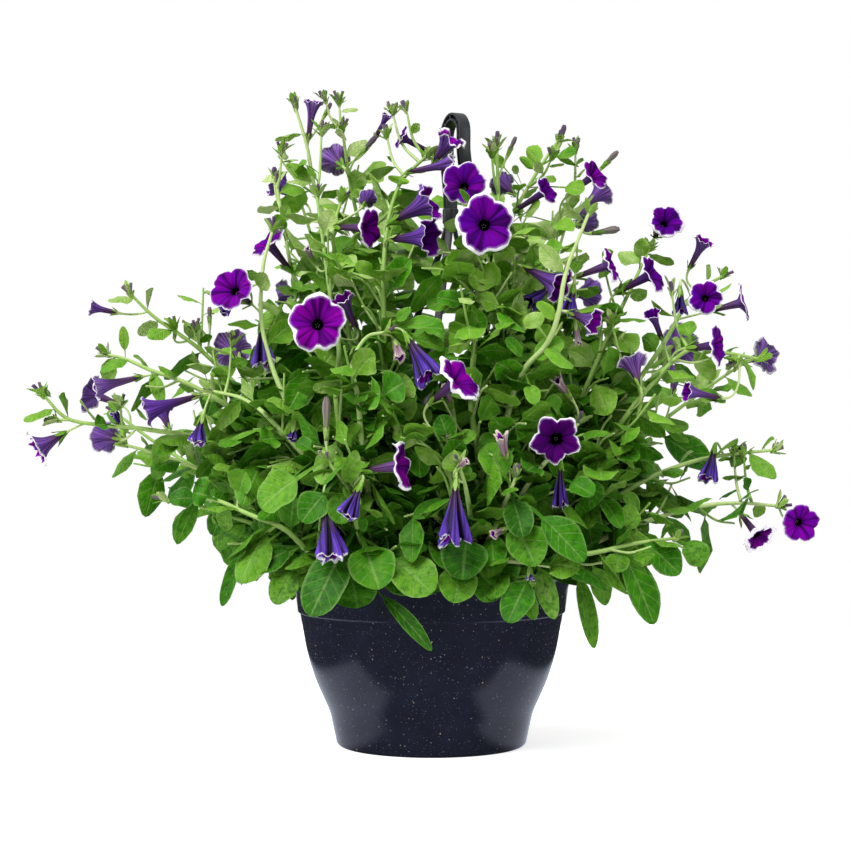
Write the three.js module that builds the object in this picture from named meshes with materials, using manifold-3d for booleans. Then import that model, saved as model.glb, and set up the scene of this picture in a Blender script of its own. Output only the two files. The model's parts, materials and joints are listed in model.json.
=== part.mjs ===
// A hanging pot of petunias: glossy plastic pot, potting soil, clip-on hanger, six plants and their blooms.
// Millimetres, +Z up, origin at the middle of the pot's base, the side seen first faces -Y.
import * as THREE from "three";
import { mergeVertices } from "three/addons/utils/BufferGeometryUtils.js";
import Module from "manifold-3d";

const wasm = await Module();
wasm.setup();

// Pot: radius and height pairs up the outside, then down the inside.
const potSides = 28;
const potOutside = [
  [92, 0], [94.5, 2], [97, 14], [101, 33], [108, 48], [116, 66], [124, 91],
  [131, 131.5], [133.2, 132.5], [136.8, 160], [141, 168], [150, 171], [152.5, 174], [152, 181],
];
const potInside = [[145, 181], [135, 166], [129, 126], [113, 66], [98, 33], [91, 3]];
const potFloor = 3;
const drainHoles = 4;
const drainRadius = 5;
const drainCircle = 62;

// Soil
const soilSides = 14;
const soilTop = 162;
const soilMound = 5;
const soilRough = 3; // unevenness of its top
const soilEdge = 131.5;
const soilInset = 1.05; // from the corners of the wall, whose flat sides come 0.8 closer
const fitGap = 0.35; // left between pieces that touch
const crownCircle = 72; // the crowns stand on this circle
const holeRadius = 7.4;
const holeDepth = 28;
const holeSides = 6;

// Hanger
const hubX = 19; // the hub leans a little to the right of the pot's axis
const hubLow = 519;
const hubHigh = 534;
const hubRadius = 8;
const armTurns = [-100, 20, 140]; // degrees from +X
const armWidth = 7.5;
const armThick = 2.6;
const tabWidth = 6;
const tabCircle = 4.2;
const tabDepth = 9;
const hookTurn = -66; // degrees from +X of the plane of the hook
const hookBend = 20; // radius of its middle line
const hookOffset = 11; // its middle stands this far beside the hub, in its plane
const hookCentre = 604;
const hookWidth = 12;
const hookDeep = 8;
const hookWall = 2.2;

// Plants
const crownRadius = 6.4;
const crownTop = soilTop + 14;
const stemStart = soilTop + 8;
const stemBase = 3.8; // stem radius at the crown and at the tip
const stemTip = 1.6;
const stalkRadius = 1.4;
const stalkStraight = 40; // shorter stalks have no bend of their own
const stalkReach = 22; // a stalk aims at the stem this far behind its bloom, and this far below
const stalkDrop = 8;
const stalkBend = 26;
const calyxRadius = 4;
const calyxDepth = 7;
const tubeRadius = 2.3; // a bloom's tube where it leaves the calyx
const petalThick = 0.9;
const sinkIn = 1.5; // how far fused pieces reach into each other
const bladeThick = 0.8;
const leastRadius = 4.5; // thinner buds and husks are not modelled here
const clear = 0.3; // least gap between two nodes
const eyeDistance = 1900; // places are sighted from this far in front of the axis
const eyeHeight = 294;

const colours = {
  pot: 0x20222e, soil: 0x3a2c20, hanger: 0x1b1c1f, foliage: 0x4f7e2b, petal: 0x63027a,
};

// A stem is a route and what it carries. Points are [across, up, toward]: across and up as sighted
// on the plane of the pot's axis, toward is how far the point stands out of that plane to the viewer.
// A bloom is [kind, across, up, toward, heading, pitch, radius, length]: the middle of its mouth,
// then where it faces (heading 0 to the viewer, 90 to +X; pitch above level), in degrees.
// A plus at the end of the kind keeps the bloom in the plant's own node.
const plants = [
  {
    name: "plant_front_left", turn: 228,
    stems: [
      [[[-91, 243, 120], [-156, 318, 110], [-186, 343, 90], [-219, 352, 70]], [
        ["horn", -287, 332, 62, -82, -16, 15, 56], ["limp+", -236, 300, 84, -30, -66, 9, 30],
      ]],
      [[[-101, 273, 110], [-146, 343, 110], [-169, 413, 95], [-169, 473, 80], [-159, 513, 60]], [
        ["open", -201, 455, 112, -25, 18, 22, 38], ["limp+", -210, 430, 80, -70, -45, 7, 22],
        ["limp+", -169, 378, 100, 15, -75, 12, 42], ["limp+", -141, 303, 140, -20, -60, 5, 18],
      ]],
      [[[-81, 263, 130], [-96, 343, 140], [-93, 393, 118], [-101, 443, 85], [-109, 503, 60], [-115, 548, 40]], [
        ["open", -114, 420, 155, 5, 6, 27, 40], ["horn", -90, 446, 102, -40, 55, 12, 36],
        ["husk+", -124, 495, 58, -30, 50, 4, 16],
      ]],
      [[[-66, 263, 150], [-74, 343, 160], [-80, 378, 155], [-66, 405, 150], [-46, 411, 155]], [
        ["limp+", 1, 365, 175, 62, -55, 14, 50], ["husk+", -30, 384, 168, 30, -50, 6, 24],
      ]],
      [[[-69, 198, 150], [-79, 233, 175], [-88, 260, 188], [-106, 283, 186]], [
        ["bud+", -106, 346, 184, 0, 82, 5, 40], ["limp+", -98, 183, 202, 40, -74, 15, 54],
      ]],
      [[[-59, 203, 140], [-71, 238, 175], [-79, 258, 187]], [
        ["open", -29, 278, 197, 75, 8, 23, 38], ["limp+", -84, 226, 214, -60, -66, 11, 34],
      ]],
      [[[-111, 183, 130], [-146, 213, 150], [-181, 228, 140], [-216, 243, 115], [-241, 243, 95]], []],
      [[[-58, 190, 115], [-78, 181, 150], [-92, 172, 172]], []],
      [[[-36, 243, 115], [-46, 343, 105], [-48, 443, 95], [-47, 493, 85], [-41, 533, 65], [-29, 563, 50],
        [-6, 586, 38]], [
        ["horn", 0, 542, 88, 75, 25, 21, 46], ["horn", -1, 506, 112, 62, 0, 19, 45],
        ["horn", 22, 580, 62, 80, 10, 11, 46], ["horn", 19, 606, 52, 55, 50, 17, 32],
        ["open", -31, 606, 25, -75, 25, 12, 40],
      ]],
    ],
  },
  {
    name: "plant_left", turn: 172,
    stems: [
      [[[-131, 243, 30], [-211, 298, 25], [-281, 313, 20], [-331, 318, 15], [-365, 325, 15], [-389, 349, 15]], [
        ["horn", -396, 293, 25, -70, -30, 20, 34], ["horn+", -328, 306, -8, -140, 5, 17, 34],
        ["limp+", -318, 330, 18, -50, 50, 5, 22],
      ]],
      [[[-131, 273, 50], [-191, 328, 50], [-241, 358, 45], [-281, 373, 40], [-306, 384, 35], [-324, 388, 30]], [
        ["horn", -337, 355, 50, -78, -14, 13, 46],
      ]],
      [[[-126, 283, 10], [-181, 343, -5], [-231, 393, -5], [-276, 425, -5], [-301, 449, -5]], [
        ["horn+", -341, 436, 0, -80, 12, 9, 26], ["bud+", -222, 436, 0, 0, 82, 3, 16],
        ["bud+", -255, 420, -8, 60, 80, 3, 14],
      ]],
      [[[-131, 223, 0], [-206, 263, -15], [-271, 288, -28], [-306, 298, -40]], []],
      [[[-121, 198, 40], [-181, 220, 45], [-231, 236, 38], [-266, 243, 28]], []],
      [[[-81, 273, 0], [-101, 363, 5], [-126, 433, 10], [-139, 470, 8], [-148, 518, 0], [-155, 560, -5]], [
        ["open", -165, 502, 34, -55, 45, 20, 40], ["bud+", -157, 576, -5, 0, 85, 3.5, 12],
      ]],
      [[[-66, 283, 10], [-79, 383, 15], [-91, 463, 30], [-99, 508, 42], [-90, 543, 30]], [
        ["open", -61, 515, 84, 62, -4, 20, 40], ["horn+", -64, 545, 22, 170, 25, 10, 28],
      ]],
    ],
  },
  {
    name: "plant_back_left", turn: 112,
    stems: [
      [[[-36, 263, -70], [-66, 383, -70], [-96, 493, -60], [-116, 553, -50], [-124, 595, -45], [-136, 636, -45]], [
        ["horn", -118, 642, -38, 35, 75, 11, 38], ["bud+", -100, 640, -66, 75, 60, 3, 16],
      ]],
      [[[-31, 283, -60], [-51, 403, -55], [-69, 503, -45], [-81, 558, -40], [-89, 613, -40]], [
        ["horn", -97, 583, -52, -160, 20, 17, 30], ["bud+", -54, 607, -30, 65, 40, 4, 26],
        ["horn+", -44, 628, -35, 55, 55, 6, 26],
      ]],
      [[[-60, 235, -130], [-110, 290, -180], [-155, 335, -215], [-185, 365, -235]], [
        ["open", -200, 395, -262, -160, 25, 24, 40], ["open", -120, 325, -235, 170, 10, 25, 42],
      ]],
      [[[-30, 245, -150], [-48, 310, -205], [-55, 365, -240], [-62, 400, -260]], [
        ["open", -35, 415, -285, 170, 12, 26, 42], ["limp+", -75, 330, -262, 185, -70, 13, 46],
      ]],
      [[[-45, 290, -110], [-75, 400, -135], [-110, 480, -150], [-130, 540, -140]], [
        ["open", -88, 462, -205, 175, 15, 25, 42], ["horn", -155, 560, -150, -100, 35, 17, 38],
        ["horn+", -150, 450, -170, -110, 5, 16, 40],
      ]],
      [[[-80, 204, -135], [-122, 196, -178], [-146, 176, -204]], []],
      [[[-150, 215, -70], [-220, 265, -110], [-275, 300, -140], [-315, 330, -150]], [
        ["open", -340, 350, -165, -110, 20, 22, 38], ["horn+", -270, 335, -160, -150, 45, 14, 34],
      ]],
    ],
  },
  {
    name: "plant_back_right", turn: 50,
    stems: [
      [[[39, 293, -40], [54, 403, -35], [69, 483, -20], [82, 528, 0], [105, 570, 0], [127, 603, 0]], [
        ["horn", 70, 560, -14, -150, 30, 14, 30], ["open", 116, 553, 44, 55, 25, 15, 42],
        ["bud+", 133, 618, 4, 60, 75, 3.5, 18],
      ]],
      [[[54, 273, -60], [89, 393, -55], [117, 488, -40], [134, 538, -20], [160, 566, -30]], [
        ["open", 164, 569, 20, 50, 28, 17, 34], ["bud+", 186, 592, -25, 70, 45, 4, 24],
        ["horn+", 156, 523, -38, 150, 15, 14, 30],
      ]],
      [[[105, 235, -95], [160, 300, -140], [205, 350, -170], [235, 375, -185]], [
        ["open", 250, 400, -205, 140, 20, 24, 40], ["open", 175, 325, -205, 165, 5, 24, 40],
      ]],
      [[[60, 250, -145], [78, 315, -200], [92, 365, -235], [100, 395, -250]], [
        ["open", 85, 415, -275, 185, 15, 26, 42], ["limp+", 115, 335, -262, 175, -70, 13, 44],
      ]],
      [[[70, 290, -95], [95, 400, -120], [120, 470, -130], [140, 535, -115]], [
        ["open", 95, 475, -165, 180, 12, 25, 42], ["horn", 172, 552, -138, 118, 36, 16, 36],
        ["horn", 160, 450, -150, 130, 5, 17, 38],
      ]],
      [[[95, 208, -125], [132, 198, -164], [156, 174, -190]], []],
      [[[138, 236, -95], [205, 300, -118], [262, 345, -120], [305, 375, -110]], [
        ["open", 335, 388, -122, 115, 15, 21, 36], ["horn+", 245, 370, -138, 160, 50, 13, 32],
      ]],
    ],
  },
  {
    name: "plant_right", turn: -12,
    stems: [
      [[[114, 263, 40], [149, 343, 50], [177, 408, 45], [201, 458, 35], [217, 493, 15]], [
        ["open", 235, 522, 38, 12, 18, 18, 36], ["open", 222, 470, 62, 62, 25, 20, 42],
      ]],
      [[[129, 258, 20], [189, 338, 25], [231, 398, 20], [257, 443, 10], [276, 458, 0], [291, 467, -5]], [
        ["horn", 273, 503, -4, 45, 55, 11, 32], ["open", 274, 446, 66, -4, 6, 17, 36],
        ["open", 313, 441, 28, 78, 14, 19, 32], ["limp+", 249, 430, 40, 0, -80, 8, 26],
      ]],
      [[[129, 233, 70], [177, 303, 80], [219, 358, 80], [257, 393, 80], [294, 390, 70], [327, 384, 60]], [
        ["open", 287, 398, 112, 65, 4, 20, 30], ["horn", 200, 382, 92, -150, 62, 16, 28],
        ["horn+", 254, 352, 104, -72, 10, 10, 36], ["horn+", 220, 430, 76, -35, 50, 9, 30],
      ]],
      [[[139, 213, 40], [204, 258, 50], [259, 281, 50], [302, 289, 45], [343, 293, 40]], [
        ["limp+", 277, 263, 64, -35, -68, 10, 36],
      ]],
      [[[144, 193, 70], [204, 218, 75], [259, 235, 70], [304, 240, 65], [347, 237, 55]], [
        ["open", 328, 204, 88, 35, -42, 18, 34], ["open", 370, 220, 76, 14, -4, 19, 34],
      ]],
      [[[112, 185, 115], [160, 190, 130], [205, 200, 120], [245, 205, 100]], []],
    ],
  },
  {
    name: "plant_front_right", turn: -66,
    stems: [
      [[[59, 253, 110], [84, 358, 135], [114, 398, 150], [126, 428, 160], [131, 458, 160], [137, 481, 148],
        [146, 503, 120], [157, 530, 88]], [
        ["open", 180, 479, 112, 72, 18, 18, 36], ["limp+", 137, 428, 122, -30, -70, 9, 30],
        ["horn+", 163, 420, 148, 62, -22, 14, 28], ["bud+", 188, 514, 74, 80, 8, 5, 27],
        ["husk+", 146, 398, 118, 20, -78, 4, 24],
      ]],
      [[[47, 263, 125], [39, 343, 140], [47, 423, 120], [63, 483, 84], [67, 528, 48], [66, 568, 34],
        [65, 596, 28]], [
        ["open", 53, 520, 150, 3, 5, 28, 42], ["open", 32, 560, 94, -4, 18, 22, 38],
        ["bud+", 66, 612, 28, 0, 84, 3, 14], ["bud+", 84, 606, 32, 50, 60, 3, 20],
      ]],
      [[[24, 223, 150], [19, 263, 165], [17, 300, 172]], [
        ["open", 29, 366, 186, 58, 35, 25, 40], ["husk+", 12, 358, 150, -40, 60, 4, 24],
      ]],
      [[[39, 213, 150], [34, 253, 180], [27, 277, 192]], [
        ["limp+", 21, 201, 210, -15, -80, 16, 58], ["husk+", 34, 283, 205, 60, 40, 4, 12],
      ]],
      [[[54, 198, 140], [72, 238, 170], [84, 266, 180]], [
        ["husk+", 67, 309, 186, -28, 58, 7, 30], ["husk+", 60, 208, 188, -60, -20, 5, 16],
      ]],
      [[[69, 213, 120], [99, 263, 130], [129, 298, 122], [147, 320, 120]], [
        ["open", 124, 303, 170, -4, -6, 24, 40], ["limp+", 128, 236, 152, -8, -82, 8, 44],
        ["husk+", 122, 365, 142, -50, 40, 6, 28],
      ]],
      [[[60, 181, 150], [96, 180, 162], [132, 174, 166]], [
        ["limp+", 98, 163, 184, 0, -70, 4, 12],
      ]],
      [[[67, 303, 100], [72, 383, 92], [79, 443, 88], [85, 475, 82]], [
        ["horn", 129, 456, 116, 62, -28, 18, 44], ["limp+", 98, 440, 74, -60, -35, 9, 32],
      ]],
    ],
  },
];

// Leaves that hang where they catch the eye: [plant, across and up of the blade's foot, across and up
// of its tip, toward, width].
const shownLeaves = [
  [0, -83, 195, -116, 136, 196, 40], [0, -79, 203, -56, 160, 190, 43], [0, -36, 193, -6, 153, 186, 42],
  [5, 24, 208, 31, 171, 184, 43], [5, 19, 183, 24, 148, 176, 36], [5, 59, 175, 53, 145, 172, 30],
  [5, 104, 168, 79, 126, 186, 30], [5, 104, 188, 147, 173, 180, 33], [5, 117, 235, 144, 187, 186, 32],
  [0, -61, 173, -76, 140, 168, 42], [0, -34, 158, -6, 93, 180, 16], [4, 142, 165, 159, 107, 132, 17],
  [4, 191, 190, 217, 128, 122, 30], [4, 209, 207, 244, 171, 118, 32], [4, 241, 223, 271, 181, 100, 28],
  [4, 169, 263, 186, 218, 132, 19], [4, 187, 218, 184, 173, 128, 23], [0, -195, 190, -205, 148, 150, 14],
  [0, -126, 170, -153, 144, 165, 26], [0, -131, 188, -179, 171, 160, 28], [0, -199, 283, -241, 251, 116, 34],
  [0, -226, 233, -263, 243, 104, 22], [1, -241, 281, -274, 288, 50, 14], [5, 69, 481, 10, 481, 122, 30],
  [5, 74, 475, 47, 453, 112, 30], [3, 99, 498, 109, 538, 40, 22], [3, 134, 531, 149, 553, -10, 15],
  [4, 201, 481, 211, 511, 40, 15], [4, 261, 328, 291, 341, 85, 13], [1, -137, 503, -158, 533, 14, 14],
  [0, -121, 503, -96, 538, 62, 20], [2, -81, 545, -66, 569, -38, 14], [0, -19, 545, -31, 569, 50, 22],
  [2, -116, 560, -149, 580, -46, 15], [1, -303, 393, -309, 423, 34, 10], [1, -321, 303, -337, 318, 34, 19],
  [1, -281, 371, -271, 343, 45, 14], [0, -33, 343, -78, 340, 168, 27], [0, -21, 328, -23, 365, 164, 34],
  [0, -146, 315, -171, 303, 140, 26], [0, -113, 301, -138, 303, 166, 16], [0, -131, 263, -166, 238, 172, 40],
  [0, -111, 253, -126, 225, 186, 30], [0, -109, 253, -91, 225, 190, 26], [5, 17, 303, 6, 333, 172, 22],
  [5, 27, 303, 46, 308, 174, 14], [5, 79, 323, 61, 283, 150, 34], [5, 74, 248, 89, 211, 188, 28],
  [5, 89, 223, 99, 183, 184, 38], [5, 131, 258, 159, 248, 164, 22], [4, 162, 291, 169, 263, 150, 34],
  [5, 129, 328, 109, 343, 140, 26], [5, 84, 348, 77, 391, 142, 24], [5, 99, 371, 71, 408, 156, 13],
  [5, 99, 398, 94, 443, 112, 33], [4, 169, 413, 174, 445, 62, 30], [0, -78, 298, -86, 268, 186, 30],
  [0, -121, 358, -101, 371, 140, 22], [2, -190, 300, -235, 275, -215, 38], [2, -60, 330, -25, 300, -250, 40],
  [2, -90, 250, -130, 205, -200, 40], [2, -45, 215, -20, 165, -205, 42], [3, 60, 215, 85, 165, -205, 42],
  [3, 95, 300, 135, 275, -235, 38], [3, 160, 250, 200, 210, -170, 38], [3, 230, 300, 275, 275, -120, 34],
  [2, -160, 230, -205, 190, -140, 38], [3, 40, 330, 5, 300, -240, 38],
];

// Leaves along every stem, by rule; the larger of them and every third of the others are modelled.
const leafRule = {
  firstAt: 34, spacing: [27, 17], length: [54, 24], width: [0.64, 0.42], spread: 58, turn: 137.5,
  neck: 0.12, droop: 0.42, largeFrom: 50, everyNth: 9,
};
const droopTries = [1, 0.5, 0, -0.6, -1.2];

const down = new THREE.Vector3(0, 0, -1);
const radians = THREE.MathUtils.degToRad;
const mix = (a, b, t) => a + (b - a) * t;

// Random numbers from 0 to 1, the same for the same seed.
function draws(seed) {
  let state = (seed * 7919 + 17) % 2147483647;
  const next = () => {
    state = (state * 16807) % 2147483647;
    return state / 2147483647;
  };
  next();
  return next;
}

function sighted(across, up, toward) {
  const shrink = 1 - toward / eyeDistance;
  return new THREE.Vector3(across * shrink, -toward, eyeHeight + (up - eyeHeight) * shrink);
}

function facing(heading, pitch) {
  const level = Math.cos(radians(pitch));
  return new THREE.Vector3(
    Math.sin(radians(heading)) * level, -Math.cos(radians(heading)) * level, Math.sin(radians(pitch)));
}

// Two directions square to an axis.
function squareTo(axis) {
  const reference = Math.abs(axis.z) < 0.9 ? new THREE.Vector3(0, 0, 1) : new THREE.Vector3(1, 0, 0);
  const side = new THREE.Vector3().crossVectors(axis, reference).normalize();
  return [side, new THREE.Vector3().crossVectors(side, axis)];
}

function solidOf(geometry) {
  geometry.deleteAttribute("normal");
  geometry.deleteAttribute("uv");
  const merged = mergeVertices(geometry, 1e-4);
  return new wasm.Manifold(new wasm.Mesh({
    numProp: 3,
    vertProperties: merged.attributes.position.array,
    triVerts: new Uint32Array(merged.index.array),
  }));
}

// A closed solid of points and triangles, turned right side out if need be.
function closed(points, faces) {
  const build = (triangles) => {
    const geometry = new THREE.BufferGeometry().setFromPoints(points);
    geometry.setIndex(triangles.flat());
    return solidOf(geometry);
  };
  const made = build(faces);
  return made.volume() > 0 ? made : build(faces.map(([a, b, c]) => [a, c, b]));
}

// Rings of points joined in turn; a ring of one point is a tip. Both ends are closed.
function loft(rings) {
  const points = rings.flat();
  const starts = [];
  rings.reduce((at, ring) => (starts.push(at), at + ring.length), 0);
  const faces = [];
  const cap = (ring, start, back) => {
    const flat = flattened(ring);
    const triangles = THREE.ShapeUtils.triangulateShape(flat, []);
    const covered = triangles.reduce((sum, t) => sum + THREE.ShapeUtils.area(t.map((i) => flat[i])), 0);
    const turns = covered * THREE.ShapeUtils.area(flat) > 0;
    triangles.forEach(([a, b, c]) => faces.push(
      turns !== back ? [start + a, start + b, start + c] : [start + c, start + b, start + a]));
  };
  for (let k = 0; k + 1 < rings.length; k++) {
    const [a, b, na, nb] = [starts[k], starts[k + 1], rings[k].length, rings[k + 1].length];
    for (let i = 0; i < Math.max(na, nb); i++) {
      const j = i + 1;
      if (na === 1) faces.push([a, b + j % nb, b + i]);
      else if (nb === 1) faces.push([a + i, a + j % na, b]);
      else faces.push([a + i, a + j % na, b + i], [a + j % na, b + j % nb, b + i]);
    }
  }
  if (rings[0].length > 1) cap(rings[0], 0, true);
  if (rings.at(-1).length > 1) cap(rings.at(-1), starts.at(-1), false);
  return closed(points, faces);
}

// A ring's points in its own plane, in the same turn.
function flattened(ring) {
  const normal = new THREE.Vector3();
  ring.forEach((p, i) => normal.add(new THREE.Vector3().crossVectors(p, ring[(i + 1) % ring.length])));
  normal.normalize();
  const [side, up] = squareTo(normal);
  return ring.map((p) => new THREE.Vector2(p.dot(side), p.dot(up)));
}

function ringAt(centre, axis, radius, sides, turn = 0) {
  const [side, up] = squareTo(axis);
  return Array.from({ length: sides }, (_, i) => {
    const a = turn + (2 * Math.PI * i) / sides;
    return centre.clone().addScaledVector(side, radius * Math.cos(a)).addScaledVector(up, radius * Math.sin(a));
  });
}

// A tapered tube through points, closed flat or at a tip; the section keeps its turn from ring to ring.
function taperedTube(points, radii, sides, tip) {
  let side;
  const rings = points.map((p, i) => {
    const axis = points[Math.min(i + 1, points.length - 1)].clone().sub(points[Math.max(i - 1, 0)]).normalize();
    side = (side ?? squareTo(axis)[0]).clone().addScaledVector(axis, -(side ?? squareTo(axis)[0]).dot(axis));
    side.normalize();
    const up = new THREE.Vector3().crossVectors(side, axis);
    return Array.from({ length: sides }, (_, k) => {
      const a = (2 * Math.PI * k) / sides;
      return p.clone().addScaledVector(side, radii[i] * Math.cos(a)).addScaledVector(up, radii[i] * Math.sin(a));
    });
  });
  return loft(tip ? [...rings, [tip]] : rings);
}

// A strap of rectangular section through points that lie in one upright plane.
function strap(points, across, width, thick) {
  const widths = points.map((_, i) => (typeof width === "number" ? width : width[i]));
  return loft(points.map((p, i) => {
    const along = points[Math.min(i + 1, points.length - 1)].clone().sub(points[Math.max(i - 1, 0)]).normalize();
    const out = new THREE.Vector3().crossVectors(along, across);
    const corner = (w, t) => p.clone().addScaledVector(across, w * widths[i] / 2).addScaledVector(out, t * thick / 2);
    return [corner(-1, -1), corner(1, -1), corner(1, 1), corner(-1, 1)];
  }));
}

function lathe(profile, sides) {
  const geometry = new THREE.LatheGeometry(profile.map(([r, z]) => new THREE.Vector2(r, z)), sides);
  return solidOf(geometry.rotateX(Math.PI / 2));
}

function post(x, y, low, high, radius, sides) {
  const geometry = new THREE.CylinderGeometry(radius, radius, high - low, sides);
  return solidOf(geometry.rotateX(Math.PI / 2).translate(x, y, (low + high) / 2));
}

function potSolid() {
  let made = lathe([[0, 0], ...potOutside, ...potInside, [0, potFloor]], potSides);
  for (let i = 0; i < drainHoles; i++) {
    const a = (2 * Math.PI * (i + 0.5)) / drainHoles;
    const [x, y] = [drainCircle * Math.cos(a), drainCircle * Math.sin(a)];
    made = made.subtract(post(x, y, -potFloor, 2 * potFloor, drainRadius, holeSides));
  }
  return made;
}

const crownSpots = plants.map(({ turn }) => [
  crownCircle * Math.cos(radians(turn)), crownCircle * Math.sin(radians(turn))]);

// Soil fills the pot a gap inside its wall; its top is a low, uneven mound.
function soilSolid() {
  const wall = [...potInside].reverse().filter(([, z]) => z < soilTop)
    .map(([r, z]) => [r - soilInset, z + fitGap]);
  const top = [
    [soilEdge, soilTop - 4], [0.74 * soilEdge, soilTop], [0.38 * soilEdge, soilTop + 0.7 * soilMound],
    [0, soilTop + soilMound],
  ];
  const geometry = new THREE.LatheGeometry(
    [[0, potFloor + fitGap], ...wall, ...top].map(([r, z]) => new THREE.Vector2(r, z)), soilSides);
  geometry.rotateX(Math.PI / 2);
  geometry.deleteAttribute("normal");
  geometry.deleteAttribute("uv");
  const surface = mergeVertices(geometry, 1e-4);
  const place = surface.attributes.position;
  const draw = draws(5);
  for (let i = 0; i < place.count; i++) {
    if (place.getZ(i) > soilTop - 1) place.setZ(i, place.getZ(i) + soilRough * (draw() - 0.5));
  }
  let made = solidOf(surface);
  crownSpots.forEach(([x, y]) => {
    made = made.subtract(post(x, y, soilTop - holeDepth, soilTop + 3 * soilMound, holeRadius, holeSides));
  });
  return made;
}

// The hook bends in an upright plane turned by hookTurn; u runs in that plane, v is height.
const hookPlane = new THREE.Vector3(Math.cos(radians(hookTurn)), Math.sin(radians(hookTurn)), 0);
const hookAcross = new THREE.Vector3(-hookPlane.y, hookPlane.x, 0);
const inHook = (u, v) => new THREE.Vector3(hubX, 0, v).addScaledVector(hookPlane, u);

function hookLine() {
  const shank = [[0, hubHigh - 2], [-1, 545], [-4, 562], [-7.5, 578], [-8.8, 592]];
  const bend = [];
  for (let step = 0; step < 6; step++) {
    const a = radians(165 - 30 * step);
    bend.push([hookOffset + hookBend * Math.cos(a), hookCentre + hookBend * Math.sin(a)]);
  }
  return [...shank, ...bend, [hookOffset + 19.5, 590], [hookOffset + 23, 574]].map(([u, v]) => inHook(u, v));
}

// Two flanges and a web between them, as a moulded rib section.
function hookSection(centre, along) {
  const out = new THREE.Vector3().crossVectors(along, hookAcross);
  const [w, d, f] = [hookWidth / 2, hookDeep / 2, hookWall];
  const web = hookWall / 2;
  const outline = [
    [-w, -d], [w, -d], [w, f - d], [web, f - d], [web, d - f], [w, d - f],
    [w, d], [-w, d], [-w, d - f], [-web, d - f], [-web, f - d], [-w, f - d],
  ];
  return outline.map(([a, b]) => centre.clone().addScaledVector(hookAcross, a).addScaledVector(out, b));
}

function hangerHook() {
  const line = hookLine();
  const along = line.map((_, i) =>
    line[Math.min(i + 1, line.length - 1)].clone().sub(line[Math.max(i - 1, 0)]).normalize());
  let made = loft(line.map((p, i) => hookSection(p, along[i])));
  for (const at of [3, 6, 9]) {
    const step = along[at].clone().multiplyScalar(0.8);
    const ends = [line[at].clone().sub(step), line[at].clone().add(step)];
    made = made.add(strap(ends, hookAcross, hookWidth - 1, hookDeep - hookWall));
  }
  made = made.add(post(hubX, 0, hubLow, hubHigh, hubRadius, 12));
  armTurns.forEach((turn) => {
    const cut = armFrame(turn);
    const ends = [cut.at(tabCircle, hubLow - 3), cut.at(tabCircle, hubLow + tabDepth + fitGap)];
    made = made.subtract(strap(ends, cut.across, tabWidth + 2.4 * fitGap, armThick + 2.4 * fitGap));
  });
  return made;
}

// An arm lies in the upright plane through its place at the hub and its place on the pot's lip.
const lipHigh = 190; // up to here an arm is measured from the pot's axis, from there toward the hub's
function armFrame(turn) {
  const outward = new THREE.Vector3(Math.cos(radians(turn)), Math.sin(radians(turn)), 0);
  const across = new THREE.Vector3(-outward.y, outward.x, 0);
  const at = (radius, z) => {
    const fromHub = THREE.MathUtils.clamp((z - lipHigh) / (hubLow - lipHigh), 0, 1);
    return new THREE.Vector3(hubX * fromHub, 0, z).addScaledVector(outward, radius);
  };
  return { outward, across, at };
}

const armLine = [
  [tabCircle, hubLow + tabDepth], [tabCircle, hubLow - 0.5], [10, 497], [36, 430], [74, 350], [110, 272],
  [140, 208], [152, 189], [154.3, 180], [154.3, 173.5], [152.6, 169.2], [148, 168.3],
];

function hangerArm(turn) {
  const frame = armFrame(turn);
  const widths = armLine.map((_, i) => (i < 2 ? tabWidth : armWidth));
  return strap(armLine.map(([r, z]) => frame.at(r, z)), frame.across, widths, armThick);
}

// Points along a stem, thick at the crown.
function stemPoints(route, spot) {
  const start = new THREE.Vector3(...spot, stemStart);
  const curve = new THREE.CatmullRomCurve3([start, ...route.map((p) => sighted(...p))], false, "catmullrom", 0.5);
  return { curve, spans: route.length };
}

const polyline = (curve, steps) => Array.from({ length: steps + 1 }, (_, i) => curve.getPoint(i / steps));

function stemSolid(points) {
  const radii = points.map((_, i) => mix(stemBase, stemTip, Math.pow(i / (points.length - 1), 0.7)));
  return taperedTube(points, radii, 3);
}

// The point of a stem's own middle line nearest to a place.
function onStem(points, target) {
  const segments = points.slice(1).map((end, i) => new THREE.Line3(points[i], end));
  return nearestOn(segments.map((line) => line.closestPointToPoint(target, true, new THREE.Vector3())), target);
}

function nearestOn(points, target) {
  return points.reduce((best, p) => (p.distanceTo(target) < best.distanceTo(target) ? p : best));
}

// A bloom's own measures: the end of its calyx, where it faces and the spread of its mouth.
function bloomPlace([kind, across, up, toward, heading, pitch, radius, length]) {
  const axis = facing(heading, pitch);
  const mouth = sighted(across, up, toward);
  const base = mouth.clone().addScaledVector(axis, -length);
  return { kind: kind.replace("+", ""), fused: kind.endsWith("+"), axis, mouth, base, radius, length };
}

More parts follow.
